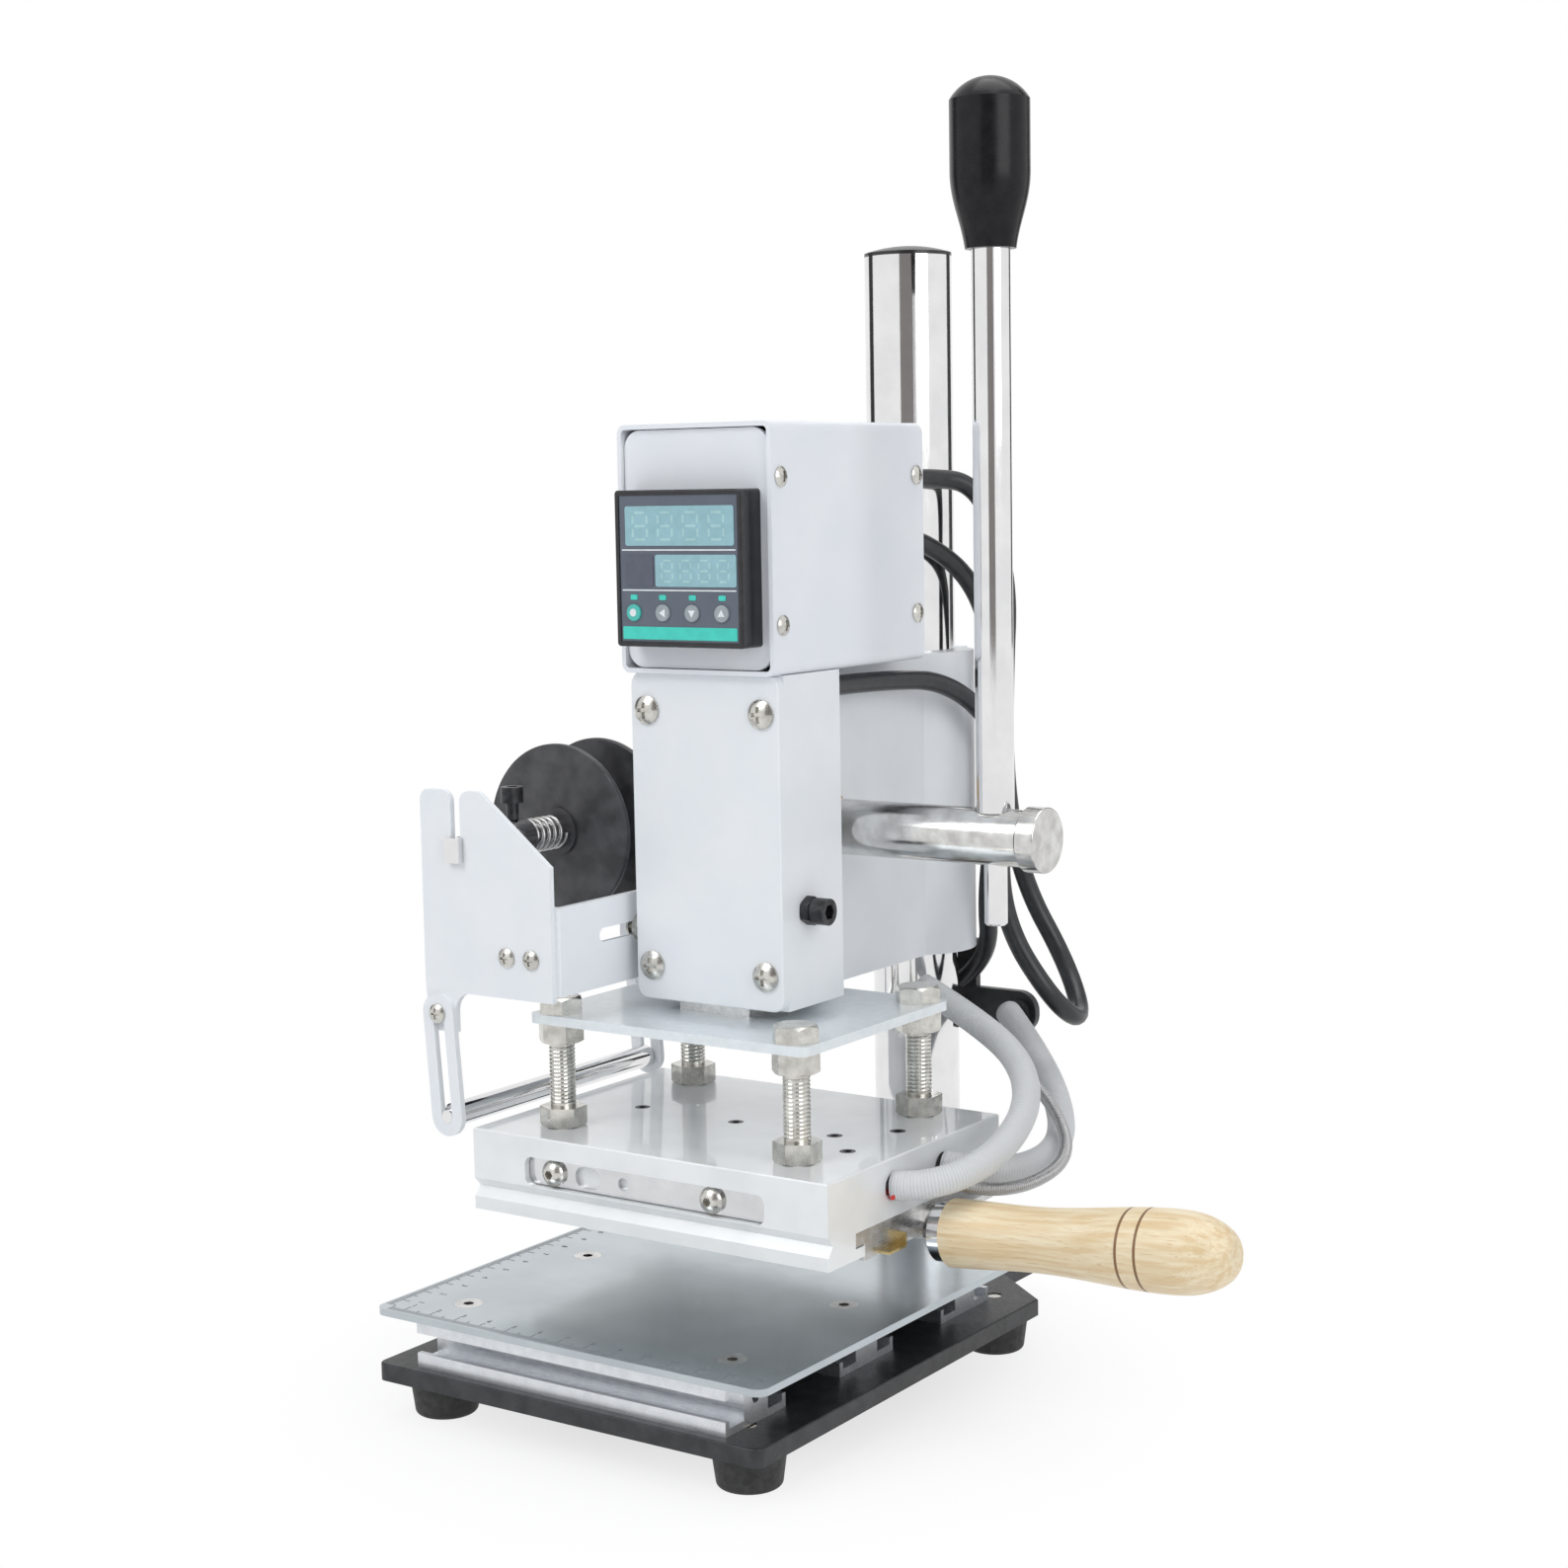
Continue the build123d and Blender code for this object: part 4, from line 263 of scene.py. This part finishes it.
def lead_material(name, colour, other, metallic, rough, pitch, depth):
    """A woven or wound skin, with bands along the tube from its own coordinates."""
    material, tree, shader, place = new_material(name)
    cloud = noise(tree, place, 0.5)
    uv = tree.nodes.new("ShaderNodeUVMap")
    split = tree.nodes.new("ShaderNodeSeparateXYZ")
    tree.links.new(uv.outputs[0], split.inputs[0])
    total = tree.nodes.new("ShaderNodeMath")
    total.operation = "MULTIPLY_ADD"
    total.inputs[1].default_value = 2 * math.pi / pitch
    tree.links.new(split.outputs["Y"], total.inputs[0])
    around = tree.nodes.new("ShaderNodeMath")
    around.operation = "MULTIPLY"
    around.inputs[1].default_value = 2 * math.pi
    tree.links.new(split.outputs["X"], around.inputs[0])
    tree.links.new(around.outputs[0], total.inputs[2])
    wave = tree.nodes.new("ShaderNodeMath")
    wave.operation = "SINE"
    tree.links.new(total.outputs[0], wave.inputs[0])
    tone = spread(tree, wave.outputs[0], -1.0, 1.0, 0.0, 0.7)
    tree.links.new(blend_colours(tree, tone, other, colour), shader.inputs["Base Color"])
    shader.inputs["Metallic"].default_value = metallic
    tree.links.new(spread(tree, cloud, *streak_range, *rough), shader.inputs["Roughness"])
    add_bump(tree, shader, wave.outputs[0], 0.6, depth)
    return material


sleeve_skin = lead_material(
    "sleeve_skin", (0.74, 0.75, 0.76), (0.6, 0.61, 0.62), 0.0, (0.45, 0.6), 0.9, 0.12
)
armour_skin = lead_material(
    "armour_skin", (0.62, 0.62, 0.62), (0.36, 0.36, 0.37), 1.0, (0.25, 0.4), 0.8, 0.25
)


def plain(name, colour, roughness):
    """A moulded or printed colour with a faint unevenness."""
    lighter = tuple(min(1.0, part * 1.12 + 0.004) for part in colour)
    return finish(name, colour, lighter, 0.0, (roughness, roughness + 0.08), depth=0.004)


teal = plain("teal", (0.07, 0.48, 0.42), 0.3)
window_cyan = plain("window_cyan", (0.27, 0.47, 0.52), 0.12)
ghost_digit = plain("ghost_digit", (0.36, 0.57, 0.58), 0.15)
window_slate = plain("window_slate", (0.085, 0.095, 0.13), 0.15)
stripe_green = plain("stripe_green", (0.05, 0.58, 0.48), 0.3)
button_grey = plain("button_grey", (0.3, 0.34, 0.36), 0.3)
mark_grey = plain("mark_grey", (0.16, 0.17, 0.19), 0.4)
mark_white = plain("mark_white", (0.75, 0.78, 0.8), 0.4)
wire_red = plain("wire_red", (0.62, 0.03, 0.03), 0.35)

surfaces = {
    "base_plate": black_paint,
    "rubber_feet": rubber,
    "base_screws": zinc,
    "table_rails": extruded,
    "work_table": table_metal,
    "table_screws": nickel,
    "post": chrome,
    "post_cap": moulded,
    "post_bolt": zinc,
    "slide_body": white_paint,
    "front_cover": white_paint,
    "cover_screws": zinc,
    "clamp_screws": black_steel,
    "gib_strip": bronze,
    "gib_screw_set": black_steel,
    "shaft_bush": bronze,
    "box_shell": box_paint,
    "box_panel": box_paint,
    "box_screws": zinc,
    "controller_case": gloss_black,
    "controller_face": face_slate,
    "bracket_screws": zinc,
    "cable_bracket": black_paint,
    "rear_cables": cable_skin,
    "ram": steel,
    "hanging_plate": plate_metal,
    "ram_screws": black_steel,
    "hanging_bolts": zinc,
    "hanging_nuts": zinc,
    "heating_block": milled,
    "heater_cartridges": steel,
    "latch_strip": strip_metal,
    "latch_screws": zinc,
    "set_screws": black_steel,
    "heater_lead": sleeve_skin,
    "thermocouple_lead": armour_skin,
    "pinion_shaft": nickel,
    "shaft_cap": nickel,
    "shaft_retainer": zinc,
    "lever_rod": chrome,
    "lever_grip": grip_black,
    "die_tray": steel,
    "tray_clip": brass,
    "tray_ferrule": chrome,
    "tray_handle": wood,
    "foil_plates": white_paint,
    "foil_cross_bracket": white_paint,
    "holder_screws": zinc,
    "guide_arms": white_paint,
    "guide_bar": chrome,
    "reel_shaft": chrome,
    "front_flange": reel_black,
    "rear_flange": reel_black,
    "reel_collar": chrome,
    "thumb_screw": black_steel,
    "reel_spring": steel,
    "set_button": teal,
    "shift_button": button_grey,
    "down_button": button_grey,
    "up_button": button_grey,
}
for name, surface in surfaces.items():
    node = nodes[name]
    if node.material_slots:
        for part_slot in node.material_slots:
            part_slot.material = surface
    else:
        node.data.materials.append(surface)


# Piece helpers
def piece_from(name, mesh_data, body, surface):
    """A finished mesh as a flat-shaded piece on a body, with its finish."""
    mesh = bpy.data.meshes.new(name)
    mesh_data.to_mesh(mesh)
    mesh_data.free()
    piece = bpy.data.objects.new(name, mesh)
    bpy.context.scene.collection.objects.link(piece)
    mesh.materials.append(surface)
    for polygon in mesh.polygons:
        polygon.use_smooth = False
    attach(piece, body)


def add_slab(mesh_data, low, high):
    """A rectangular slab between two corners, in millimetres."""
    corners = []
    for x in (low[0], high[0]):
        for y in (low[1], high[1]):
            for z in (low[2], high[2]):
                corners.append(mesh_data.verts.new((x * MM, y * MM, z * MM)))
    for face in ((0, 1, 3, 2), (4, 6, 7, 5), (0, 4, 5, 1), (2, 3, 7, 6), (0, 2, 6, 4), (1, 5, 7, 3)):
        mesh_data.faces.new([corners[index] for index in face])


def add_front_outline(mesh_data, outline, front, back):
    """A flat outline of (x, z) points, from one depth to another, in millimetres."""
    near = [mesh_data.verts.new((x * MM, front * MM, z * MM)) for x, z in outline]
    far = [mesh_data.verts.new((x * MM, back * MM, z * MM)) for x, z in outline]
    mesh_data.faces.new(near)
    mesh_data.faces.new(list(reversed(far)))
    for index in range(len(outline)):
        following = (index + 1) % len(outline)
        mesh_data.faces.new((near[following], near[index], far[index], far[following]))


def rounded(x0, x1, z0, z1, radius, steps=5):
    """The outline of a rectangle with rounded corners."""
    outline = []
    for corner_x, corner_z, start in (
        (x1 - radius, z1 - radius, 0),
        (x0 + radius, z1 - radius, 90),
        (x0 + radius, z0 + radius, 180),
        (x1 - radius, z0 + radius, 270),
    ):
        for step in range(steps + 1):
            angle = math.radians(start + 90 * step / steps)
            outline.append((corner_x + radius * math.cos(angle), corner_z + radius * math.sin(angle)))
    return outline


# Rule marks on the work table: long at each centimetre, shorter at the half, shortest at the millimetre
centimetre_mark = 5.0
half_mark = 3.6
millimetre_mark = 2.2
mark_half = 0.14
mark_inset = 0.8
mark_rise = 0.05
first_mark = 5
last_front_mark = 140
last_side_mark = 148
last_figure = 14
figure_size = 3.0
figure_extrude = 0.02
figure_rise = 0.03
front_figure_inset = 6.6
side_figure_inset = 8.8
side_figure_shift = 1.0

table_low, table_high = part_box("work_table")
top_z = table_high[2] / MM
left_x = table_low[0] / MM
front_y = table_low[1] / MM


def mark_length(mark):
    """How far in a mark reaches, by its place in millimetres."""
    if mark % 10 == 0:
        return centimetre_mark
    if mark % 5 == 0:
        return half_mark
    return millimetre_mark


ticks = bmesh.new()
for mark in range(first_mark, last_front_mark + 1):
    low = (left_x + mark - mark_half, front_y + mark_inset, top_z)
    high = (left_x + mark + mark_half, front_y + mark_inset + mark_length(mark), top_z + mark_rise)
    add_slab(ticks, low, high)
for mark in range(first_mark, last_side_mark + 1):
    low = (left_x + mark_inset, front_y + mark - mark_half, top_z)
    high = (left_x + mark_inset + mark_length(mark), front_y + mark + mark_half, top_z + mark_rise)
    add_slab(ticks, low, high)
piece_from("rule_marks", ticks, "frame", mark_grey)

for axis_name in ("front", "side"):
    for number in range(1, last_figure + 1):
        text = bpy.data.curves.new(f"rule_{axis_name}_{number}", "FONT")
        text.body = str(number)
        text.size = figure_size * MM
        text.align_x = "CENTER"
        text.extrude = figure_extrude * MM
        figure = bpy.data.objects.new(f"rule_{axis_name}_{number}", text)
        if axis_name == "front":
            figure_x = left_x + 10 * number
            figure_y = front_y + front_figure_inset
        else:
            figure_x = left_x + side_figure_inset
            figure_y = front_y + 10 * number + side_figure_shift
            figure.rotation_euler = (0.0, 0.0, math.radians(-90))
        figure.location = (figure_x * MM, figure_y * MM, (top_z + figure_rise) * MM)
        bpy.context.scene.collection.objects.link(figure)
        text.materials.append(mark_grey)
        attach(figure, "frame")

# Screw threads on the hanging bolts, between their nuts: one triangular ridge wound round each shank
thread_pitch = 1.25
thread_rise = 0.22
thread_root = 0.05
thread_half = 0.55
thread_steps = 24
shank_r = 4.0
thread_low = 89.7
thread_high = 109.3
bolt_columns = (-45.0, 45.0)
bolt_rows = (-25.0, 45.0)


def add_thread(mesh_data, x, y):
    """A wound ridge round one shank, in millimetres."""
    turns = (thread_high - thread_low) / thread_pitch
    section = (
        (shank_r - thread_root, -thread_half),
        (shank_r + thread_rise, 0.0),
        (shank_r - thread_root, thread_half),
    )
    rows = []
    for step in range(int(turns * thread_steps) + 1):
        angle = 2 * math.pi * step / thread_steps
        z = thread_low + thread_pitch * step / thread_steps
        row = []
        for radius, shift in section:
            place = Vector((x + radius * math.cos(angle), y + radius * math.sin(angle), z + shift))
            row.append(mesh_data.verts.new(place * MM))
        rows.append(row)
    for before, after in zip(rows, rows[1:]):
        for first, second in ((0, 1), (1, 2), (2, 0)):
            mesh_data.faces.new((before[first], after[first], after[second], before[second]))
    mesh_data.faces.new(rows[0])
    mesh_data.faces.new(list(reversed(rows[-1])))


threads = bmesh.new()
for bolt_x in bolt_columns:
    for bolt_y in bolt_rows:
        add_thread(threads, bolt_x, bolt_y)
piece_from("bolt_threads", threads, "press", zinc)

# Controller face: windows, digits, dividers, lamps and stripe, as (left, right, bottom, top) in millimetres
upper_window_edges = (-20.0, 21.0, 266.5, 278.6)
lower_window_edges = (-8.7, 21.7, 254.0, 263.8)
side_window_edges = (-20.0, -9.6, 254.0, 263.8)
window_corner = 0.8
upper_divider_edges = (-21.5, 21.5, 265.0, 265.4)
lower_divider_edges = (-21.5, 21.5, 252.7, 253.1)
divider_corner = 0.15
stripe_edges = (-21.6, 21.6, 237.8, 241.7)
stripe_corner = 0.4
lamp_places = (-17.2, -6.2, 5.1, 16.2)
lamp_half = 1.3
lamp_bottom = 249.9
lamp_top = 251.5
lamp_corner = 0.5
window_rise = 0.25
digit_rise = 0.29
divider_rise = 0.15
lamp_rise = 0.2
digit_count = 4
# First corner, spacing, width, height and bar width of each row of digits
upper_digit_row = (-17.0, 268.4, 9.6, 5.4, 8.2, 0.8)
lower_digit_row = (-6.2, 255.6, 7.0, 4.0, 6.4, 0.65)
bar_rounding = 0.3
bar_steps = 2

face_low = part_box("controller_face")[0]
face_y = face_low[1] / MM


def face_piece(name, outlines, surface, rise=window_rise):
    """Thin shapes on the controller's face."""
    shapes = bmesh.new()
    for outline in outlines:
        add_front_outline(shapes, outline, face_y - rise, face_y)
    piece_from(name, shapes, "head", surface)


def digit_outlines(row):
    """The seven bars of each digit in a row."""
    first_x, z, spacing, width, height, bar = row
    half = height / 2
    outlines = []
    for index in range(digit_count):
        x = first_x + spacing * index
        bars = []
        for rise in (0.0, half, height):
            bars.append((x + bar, x + width - bar, z + rise - bar / 2, z + rise + bar / 2))
        for side_x in (x, x + width):
            for rise in (0.0, half):
                bars.append((side_x - bar / 2, side_x + bar / 2, z + rise + bar, z + rise + half - bar))
        outlines += [rounded(*edges, bar * bar_rounding, bar_steps) for edges in bars]
    return outlines


lamp_outlines = []
for middle in lamp_places:
    edges = (middle - lamp_half, middle + lamp_half, lamp_bottom, lamp_top)
    lamp_outlines.append(rounded(*edges, lamp_corner))
divider_outlines = [rounded(*edges, divider_corner) for edges in (upper_divider_edges, lower_divider_edges)]
face_piece("upper_window", [rounded(*upper_window_edges, window_corner)], window_cyan)
face_piece("lower_window", [rounded(*lower_window_edges, window_corner)], window_cyan)
face_piece("side_window", [rounded(*side_window_edges, window_corner)], window_slate)
face_piece("upper_digits", digit_outlines(upper_digit_row), ghost_digit, digit_rise)
face_piece("lower_digits", digit_outlines(lower_digit_row), ghost_digit, digit_rise)
face_piece("dividers", divider_outlines, mark_white, divider_rise)
face_piece("lamps", lamp_outlines, stripe_green, lamp_rise)
face_piece("stripe", [rounded(*stripe_edges, stripe_corner)], stripe_green, lamp_rise)

# Arrow marks on three buttons, and a dot on the first
shift_arrow = [(-5.0, 247.3), (-7.2, 246.0), (-5.0, 244.7)]
down_arrow = [(3.8, 246.9), (5.1, 244.7), (6.4, 246.9)]
up_arrow = [(14.9, 245.1), (17.5, 245.1), (16.2, 247.3)]
set_dot_edges = (-18.4, -16.0, 244.8, 247.2)
set_dot_radius = 1.15
print_rise = 0.04
print_depth = 0.1

button_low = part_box("up_button")[0]
button_face = button_low[1] / MM


def button_mark(name, body, outline):
    """A thin printed mark on a button's face."""
    shape = bmesh.new()
    add_front_outline(shape, outline, button_face - print_rise, button_face + print_depth)
    piece_from(name, shape, body, mark_white)


button_mark("shift_mark", "button_shift", shift_arrow)
button_mark("down_mark", "button_down", down_arrow)
button_mark("up_mark", "button_up", up_arrow)
button_mark("set_mark", "button_set", rounded(*set_dot_edges, set_dot_radius))

# Cables and leads: smooth lines through the routes of their solids
line_steps = 12
bevel_steps = 5


def route_line(name, route, radius=None):
    """A smooth line through control points, in millimetres, kept as a round tube where it has a radius."""
    data = bpy.data.curves.new(name, "CURVE")
    data.dimensions = "3D"
    data.resolution_u = line_steps
    spline = data.splines.new("NURBS")
    spline.points.add(len(route) - 1)
    for point, (x, y, z) in zip(spline.points, route):
        point.co = (x * MM, y * MM, z * MM, 1.0)
    spline.order_u = 3
    spline.use_endpoint_u = True
    line = bpy.data.objects.new(name, data)
    bpy.context.scene.collection.objects.link(line)
    bpy.context.view_layer.update()
    flat = bpy.data.meshes.new_from_object(line.evaluated_get(bpy.context.evaluated_depsgraph_get()))
    centre = [vertex.co.copy() for vertex in flat.vertices]
    length = sum((second - first).length for first, second in zip(centre, centre[1:]))
    bpy.data.meshes.remove(flat)
    if radius is None:
        bpy.data.objects.remove(line)
        return None, centre, length
    data.bevel_depth = radius * MM
    data.bevel_resolution = bevel_steps
    data.use_fill_caps = True
    return line, centre, length


def tube_mesh(name, centre, radius, sides=20):
    """A round tube along a line of points. U goes once round it, and V is in millimetres along it."""
    tube = bmesh.new()
    layer = tube.loops.layers.uv.new("UVMap")
    across = Vector((0.0, 0.0, 1.0))
    rings = []
    reached = [0.0]
    for first, second in zip(centre, centre[1:]):
        reached.append(reached[-1] + (second - first).length / MM)
    for index, point in enumerate(centre):
        before = centre[max(index - 1, 0)]
        after = centre[min(index + 1, len(centre) - 1)]
        along = (after - before).normalized()
        across = (across - along * across.dot(along)).normalized()
        other = along.cross(across)
        ring = []
        for side in range(sides):
            angle = 2 * math.pi * side / sides
            outward = across * math.cos(angle) + other * math.sin(angle)
            ring.append(tube.verts.new(point + outward * radius * MM))
        rings.append(ring)
    for index in range(len(rings) - 1):
        for side in range(sides):
            following = (side + 1) % sides
            corners = ((index, side), (index, following), (index + 1, following), (index + 1, side))
            face = tube.faces.new([rings[row][column] for row, column in corners])
            turns = (side, side + 1, side + 1, side)
            for loop, turn, (row, column) in zip(face.loops, turns, corners):
                loop[layer].uv = (turn / sides, reached[row])
    tube.faces.new(list(reversed(rings[0])))
    tube.faces.new(rings[-1])
    mesh = bpy.data.meshes.new(name)
    tube.to_mesh(mesh)
    tube.free()
    for polygon in mesh.polygons:
        polygon.use_smooth = True
    piece = bpy.data.objects.new(name, mesh)
    bpy.context.scene.collection.objects.link(piece)
    return piece


cable_r = 3.25
cable_routes = {
    "lower_cable": [
        (14, 78.5, 268),
        (14, 102, 266),
        (24, 124, 248),
        (25, 134, 212),
        (25, 132, 172),
        (26, 122, 142),
        (22, 132, 118),
        (8, 135.3, 108),
    ],
    "upper_cable": [
        (20, 28, 220.5),
        (20, 62, 220.5),
        (26, 100, 218),
        (35, 122, 196),
        (38, 110, 164),
        (48, 96, 137),
        (65, 98, 112),
        (67, 117, 101),
        (51, 135, 117),
        (36, 130, 146),
        (34, 122, 180),
        (34, 122, 216),
        (35, 124, 252),
        (26, 120, 284),
        (14, 102, 286),
        (14, 78.5, 286),
    ],
}
for name, route in cable_routes.items():
    line, centre, length = route_line(name, route, cable_r)
    line.data.materials.append(cable_skin)
    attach(line, "head")
    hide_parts("rear_cables")

front_lead = [
    (68.2, -7.5, 74.3),
    (80, -6, 75),
    (90, 14, 80),
    (86, 44, 89),
    (70, 68, 98),
    (46, 80, 107),
    (22, 86, 115),
]
back_lead = [
    (68.2, 21.5, 74),
    (82, 24, 73),
    (86, 50, 70),
    (80, 78, 72),
    (66, 98, 82),
    (46, 116, 93),
    (30, 130, 99),
]
probe_lead = [
    (68.2, 7, 74),
    (80, 8, 72),
    (92, 26, 68),
    (96, 52, 72),
    (84, 68, 82),
    (60, 84, 92),
    (40, 100, 100),
]
sleeve_r = 4.5
armour_r = 2.0
leads = [
    ("front_lead", "heater_lead", front_lead, sleeve_r, sleeve_skin, "sleeve"),
    ("back_lead", "heater_lead", back_lead, sleeve_r, sleeve_skin, "sleeve"),
    ("probe_lead", "thermocouple_lead", probe_lead, armour_r, armour_skin, "steel"),
]
for name, node_name, route, radius, surface, slot_name in leads:
    centre, length = route_line(name + "_line", route)[1:]
    piece = tube_mesh(name, centre, radius)
    piece.data.materials.append(surface)
    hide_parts(node_name)
    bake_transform(piece)

# Red wire at the root of the front heater lead
wire_r = 0.9
wire_route = [(66.5, -7.5, 72.6), (68.4, -9.5, 71.2), (69.6, -10.6, 71.6), (70.4, -10.4, 73.4)]
wire = route_line("red_wire", wire_route, wire_r)[0]
wire.data.materials.append(wire_red)
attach(wire, "press")

# White floor: it glows for the camera and for reflections, less so under the object, where the shadow shows
floor_half = 4.0
floor_grey = (0.9, 0.9, 0.91, 1.0)
floor_roughness = 0.7
shadow_reach = (0.06, 0.15)
glow_share = (0.72, 1.0)
white = (1.0, 1.0, 1.0, 1.0)

floor_data = bmesh.new()
bmesh.ops.create_grid(floor_data, x_segments=1, y_segments=1, size=floor_half)
floor_mesh = bpy.data.meshes.new("floor")
floor_data.to_mesh(floor_mesh)
floor_data.free()
floor = bpy.data.objects.new("floor", floor_mesh)
bpy.context.scene.collection.objects.link(floor)
floor_surface = bpy.data.materials.new("floor_surface")
floor_surface.use_nodes = True
tree = floor_surface.node_tree
floor_shader = tree.nodes["Principled BSDF"]
floor_shader.inputs["Base Color"].default_value = floor_grey
floor_shader.inputs["Roughness"].default_value = floor_roughness
floor_glow = tree.nodes.new("ShaderNodeEmission")
floor_glow.inputs["Color"].default_value = white
place = tree.nodes.new("ShaderNodeTexCoord")
reach = tree.nodes.new("ShaderNodeVectorMath")
reach.operation = "LENGTH"
tree.links.new(place.outputs["Object"], reach.inputs[0])
far = spread(tree, reach.outputs["Value"], *shadow_reach, *glow_share)


def camera_or_glossy(tree):
    """One for rays from the camera and from reflections, nought for all others."""
    rays = tree.nodes.new("ShaderNodeLightPath")
    either = tree.nodes.new("ShaderNodeMath")
    either.operation = "MAXIMUM"
    tree.links.new(rays.outputs["Is Camera Ray"], either.inputs[0])
    tree.links.new(rays.outputs["Is Glossy Ray"], either.inputs[1])
    return either.outputs[0]


share = tree.nodes.new("ShaderNodeMath")
share.operation = "MULTIPLY"
tree.links.new(far, share.inputs[0])
tree.links.new(camera_or_glossy(tree), share.inputs[1])
floor_mix = tree.nodes.new("ShaderNodeMixShader")
tree.links.new(share.outputs[0], floor_mix.inputs[0])
tree.links.new(floor_shader.outputs[0], floor_mix.inputs[1])
tree.links.new(floor_glow.outputs[0], floor_mix.inputs[2])
tree.links.new(floor_mix.outputs[0], tree.nodes["Material Output"].inputs["Surface"])
floor_mesh.materials.append(floor_surface)

# World: a soft blue-white light, and plain white for the camera and for reflections
sky_colour = (0.93, 0.96, 1.0, 1.0)
sky_strength = 0.5

world = bpy.data.worlds.new("studio")
bpy.context.scene.world = world
world.use_nodes = True
tree = world.node_tree
background = tree.nodes["Background"]
background.inputs["Color"].default_value = sky_colour
background.inputs["Strength"].default_value = sky_strength
shown = tree.nodes.new("ShaderNodeBackground")
shown.inputs["Color"].default_value = white
shown.inputs["Strength"].default_value = 1.0
join = tree.nodes.new("ShaderNodeMixShader")
tree.links.new(camera_or_glossy(tree), join.inputs[0])
tree.links.new(background.outputs[0], join.inputs[1])
tree.links.new(shown.outputs[0], join.inputs[2])
tree.links.new(join.outputs[0], tree.nodes["World Output"].inputs["Surface"])

# Dark cards round the object, that only reflections show: bearing in degrees, width and tone
cards = (
    (-64.0, 0.8, (0.26, 0.24, 0.235)),
    (-176.0, 0.45, (0.05, 0.05, 0.05)),
    (78.0, 0.4, (0.06, 0.06, 0.06)),
)
card_half = 0.5
card_distance = 1.3
card_middle_y = 0.1
card_middle_z = 0.85
card_stretch = 1.4
for index, (bearing, width, tone) in enumerate(cards):
    card_surface = bpy.data.materials.new(f"card_surface_{index}")
    card_surface.use_nodes = True
    tree = card_surface.node_tree
    card_glow = tree.nodes.new("ShaderNodeEmission")
    card_glow.inputs["Color"].default_value = (*tone, 1.0)
    tree.links.new(card_glow.outputs[0], tree.nodes["Material Output"].inputs["Surface"])
    card_data = bmesh.new()
    bmesh.ops.create_grid(card_data, x_segments=1, y_segments=1, size=card_half)
    card_mesh = bpy.data.meshes.new(f"card_{index}")
    card_data.to_mesh(card_mesh)
    card_data.free()
    card = bpy.data.objects.new(f"card_{index}", card_mesh)
    angle = math.radians(bearing)
    card_x = card_distance * math.cos(angle)
    card_y = card_middle_y + card_distance * math.sin(angle)
    card.location = (card_x, card_y, card_middle_z)
    card.rotation_euler = (math.radians(90), 0.0, angle + math.radians(90))
    card.scale = (width, card_stretch, 1.0)
    bpy.context.scene.collection.objects.link(card)
    card_mesh.materials.append(card_surface)
    card.visible_camera = False
    card.visible_diffuse = False
    card.visible_shadow = False
    card.visible_transmission = False

# Area lights: name, place, target, size in metres and power in watts
lights = (
    ("key", (-0.5, -1.2, 1.3), (0.0, 0.0, 0.15), 0.9, 9.0),
    ("fill", (1.5, -0.5, 0.8), (0.0, 0.0, 0.15), 1.0, 7.5),
    ("top", (0.0, 0.3, 1.8), (0.0, 0.0, 0.1), 1.2, 9.0),
)
for name, place, target, size, power in lights:
    data = bpy.data.lights.new(name, "AREA")
    data.energy = power
    data.size = size
    light = bpy.data.objects.new(name, data)
    light.location = place
    light.rotation_euler = (Vector(target) - Vector(place)).to_track_quat("-Z", "Y").to_euler()
    bpy.context.scene.collection.objects.link(light)

# Camera, as fitted to the photograph
yaw = math.radians(34.4)
pitch = math.radians(6.5)
roll = math.radians(-1.0)
camera_place = (0.4775, -0.6604, 0.2842)
sensor_width = 36.0
lens_length = 60.19
nearest_shown = 0.05

forward = Vector((-math.sin(yaw) * math.cos(pitch), math.cos(yaw) * math.cos(pitch), -math.sin(pitch)))
level = Vector((math.cos(yaw), math.sin(yaw), 0.0))
upward = level.cross(forward)
right = level * math.cos(roll) + upward * math.sin(roll)
top = upward * math.cos(roll) - level * math.sin(roll)
camera_data = bpy.data.cameras.new("camera")
camera_data.sensor_width = sensor_width
camera_data.lens = lens_length
camera_data.clip_start = nearest_shown
camera = bpy.data.objects.new("camera", camera_data)
columns = (right, top, -forward, Vector(camera_place))
rows = [tuple(column[axis] for column in columns) for axis in range(3)]
camera.matrix_world = Matrix((*rows, (0.0, 0.0, 0.0, 1.0)))
bpy.context.scene.collection.objects.link(camera)
bpy.context.scene.camera = camera
bpy.context.scene.view_settings.view_transform = "Standard"
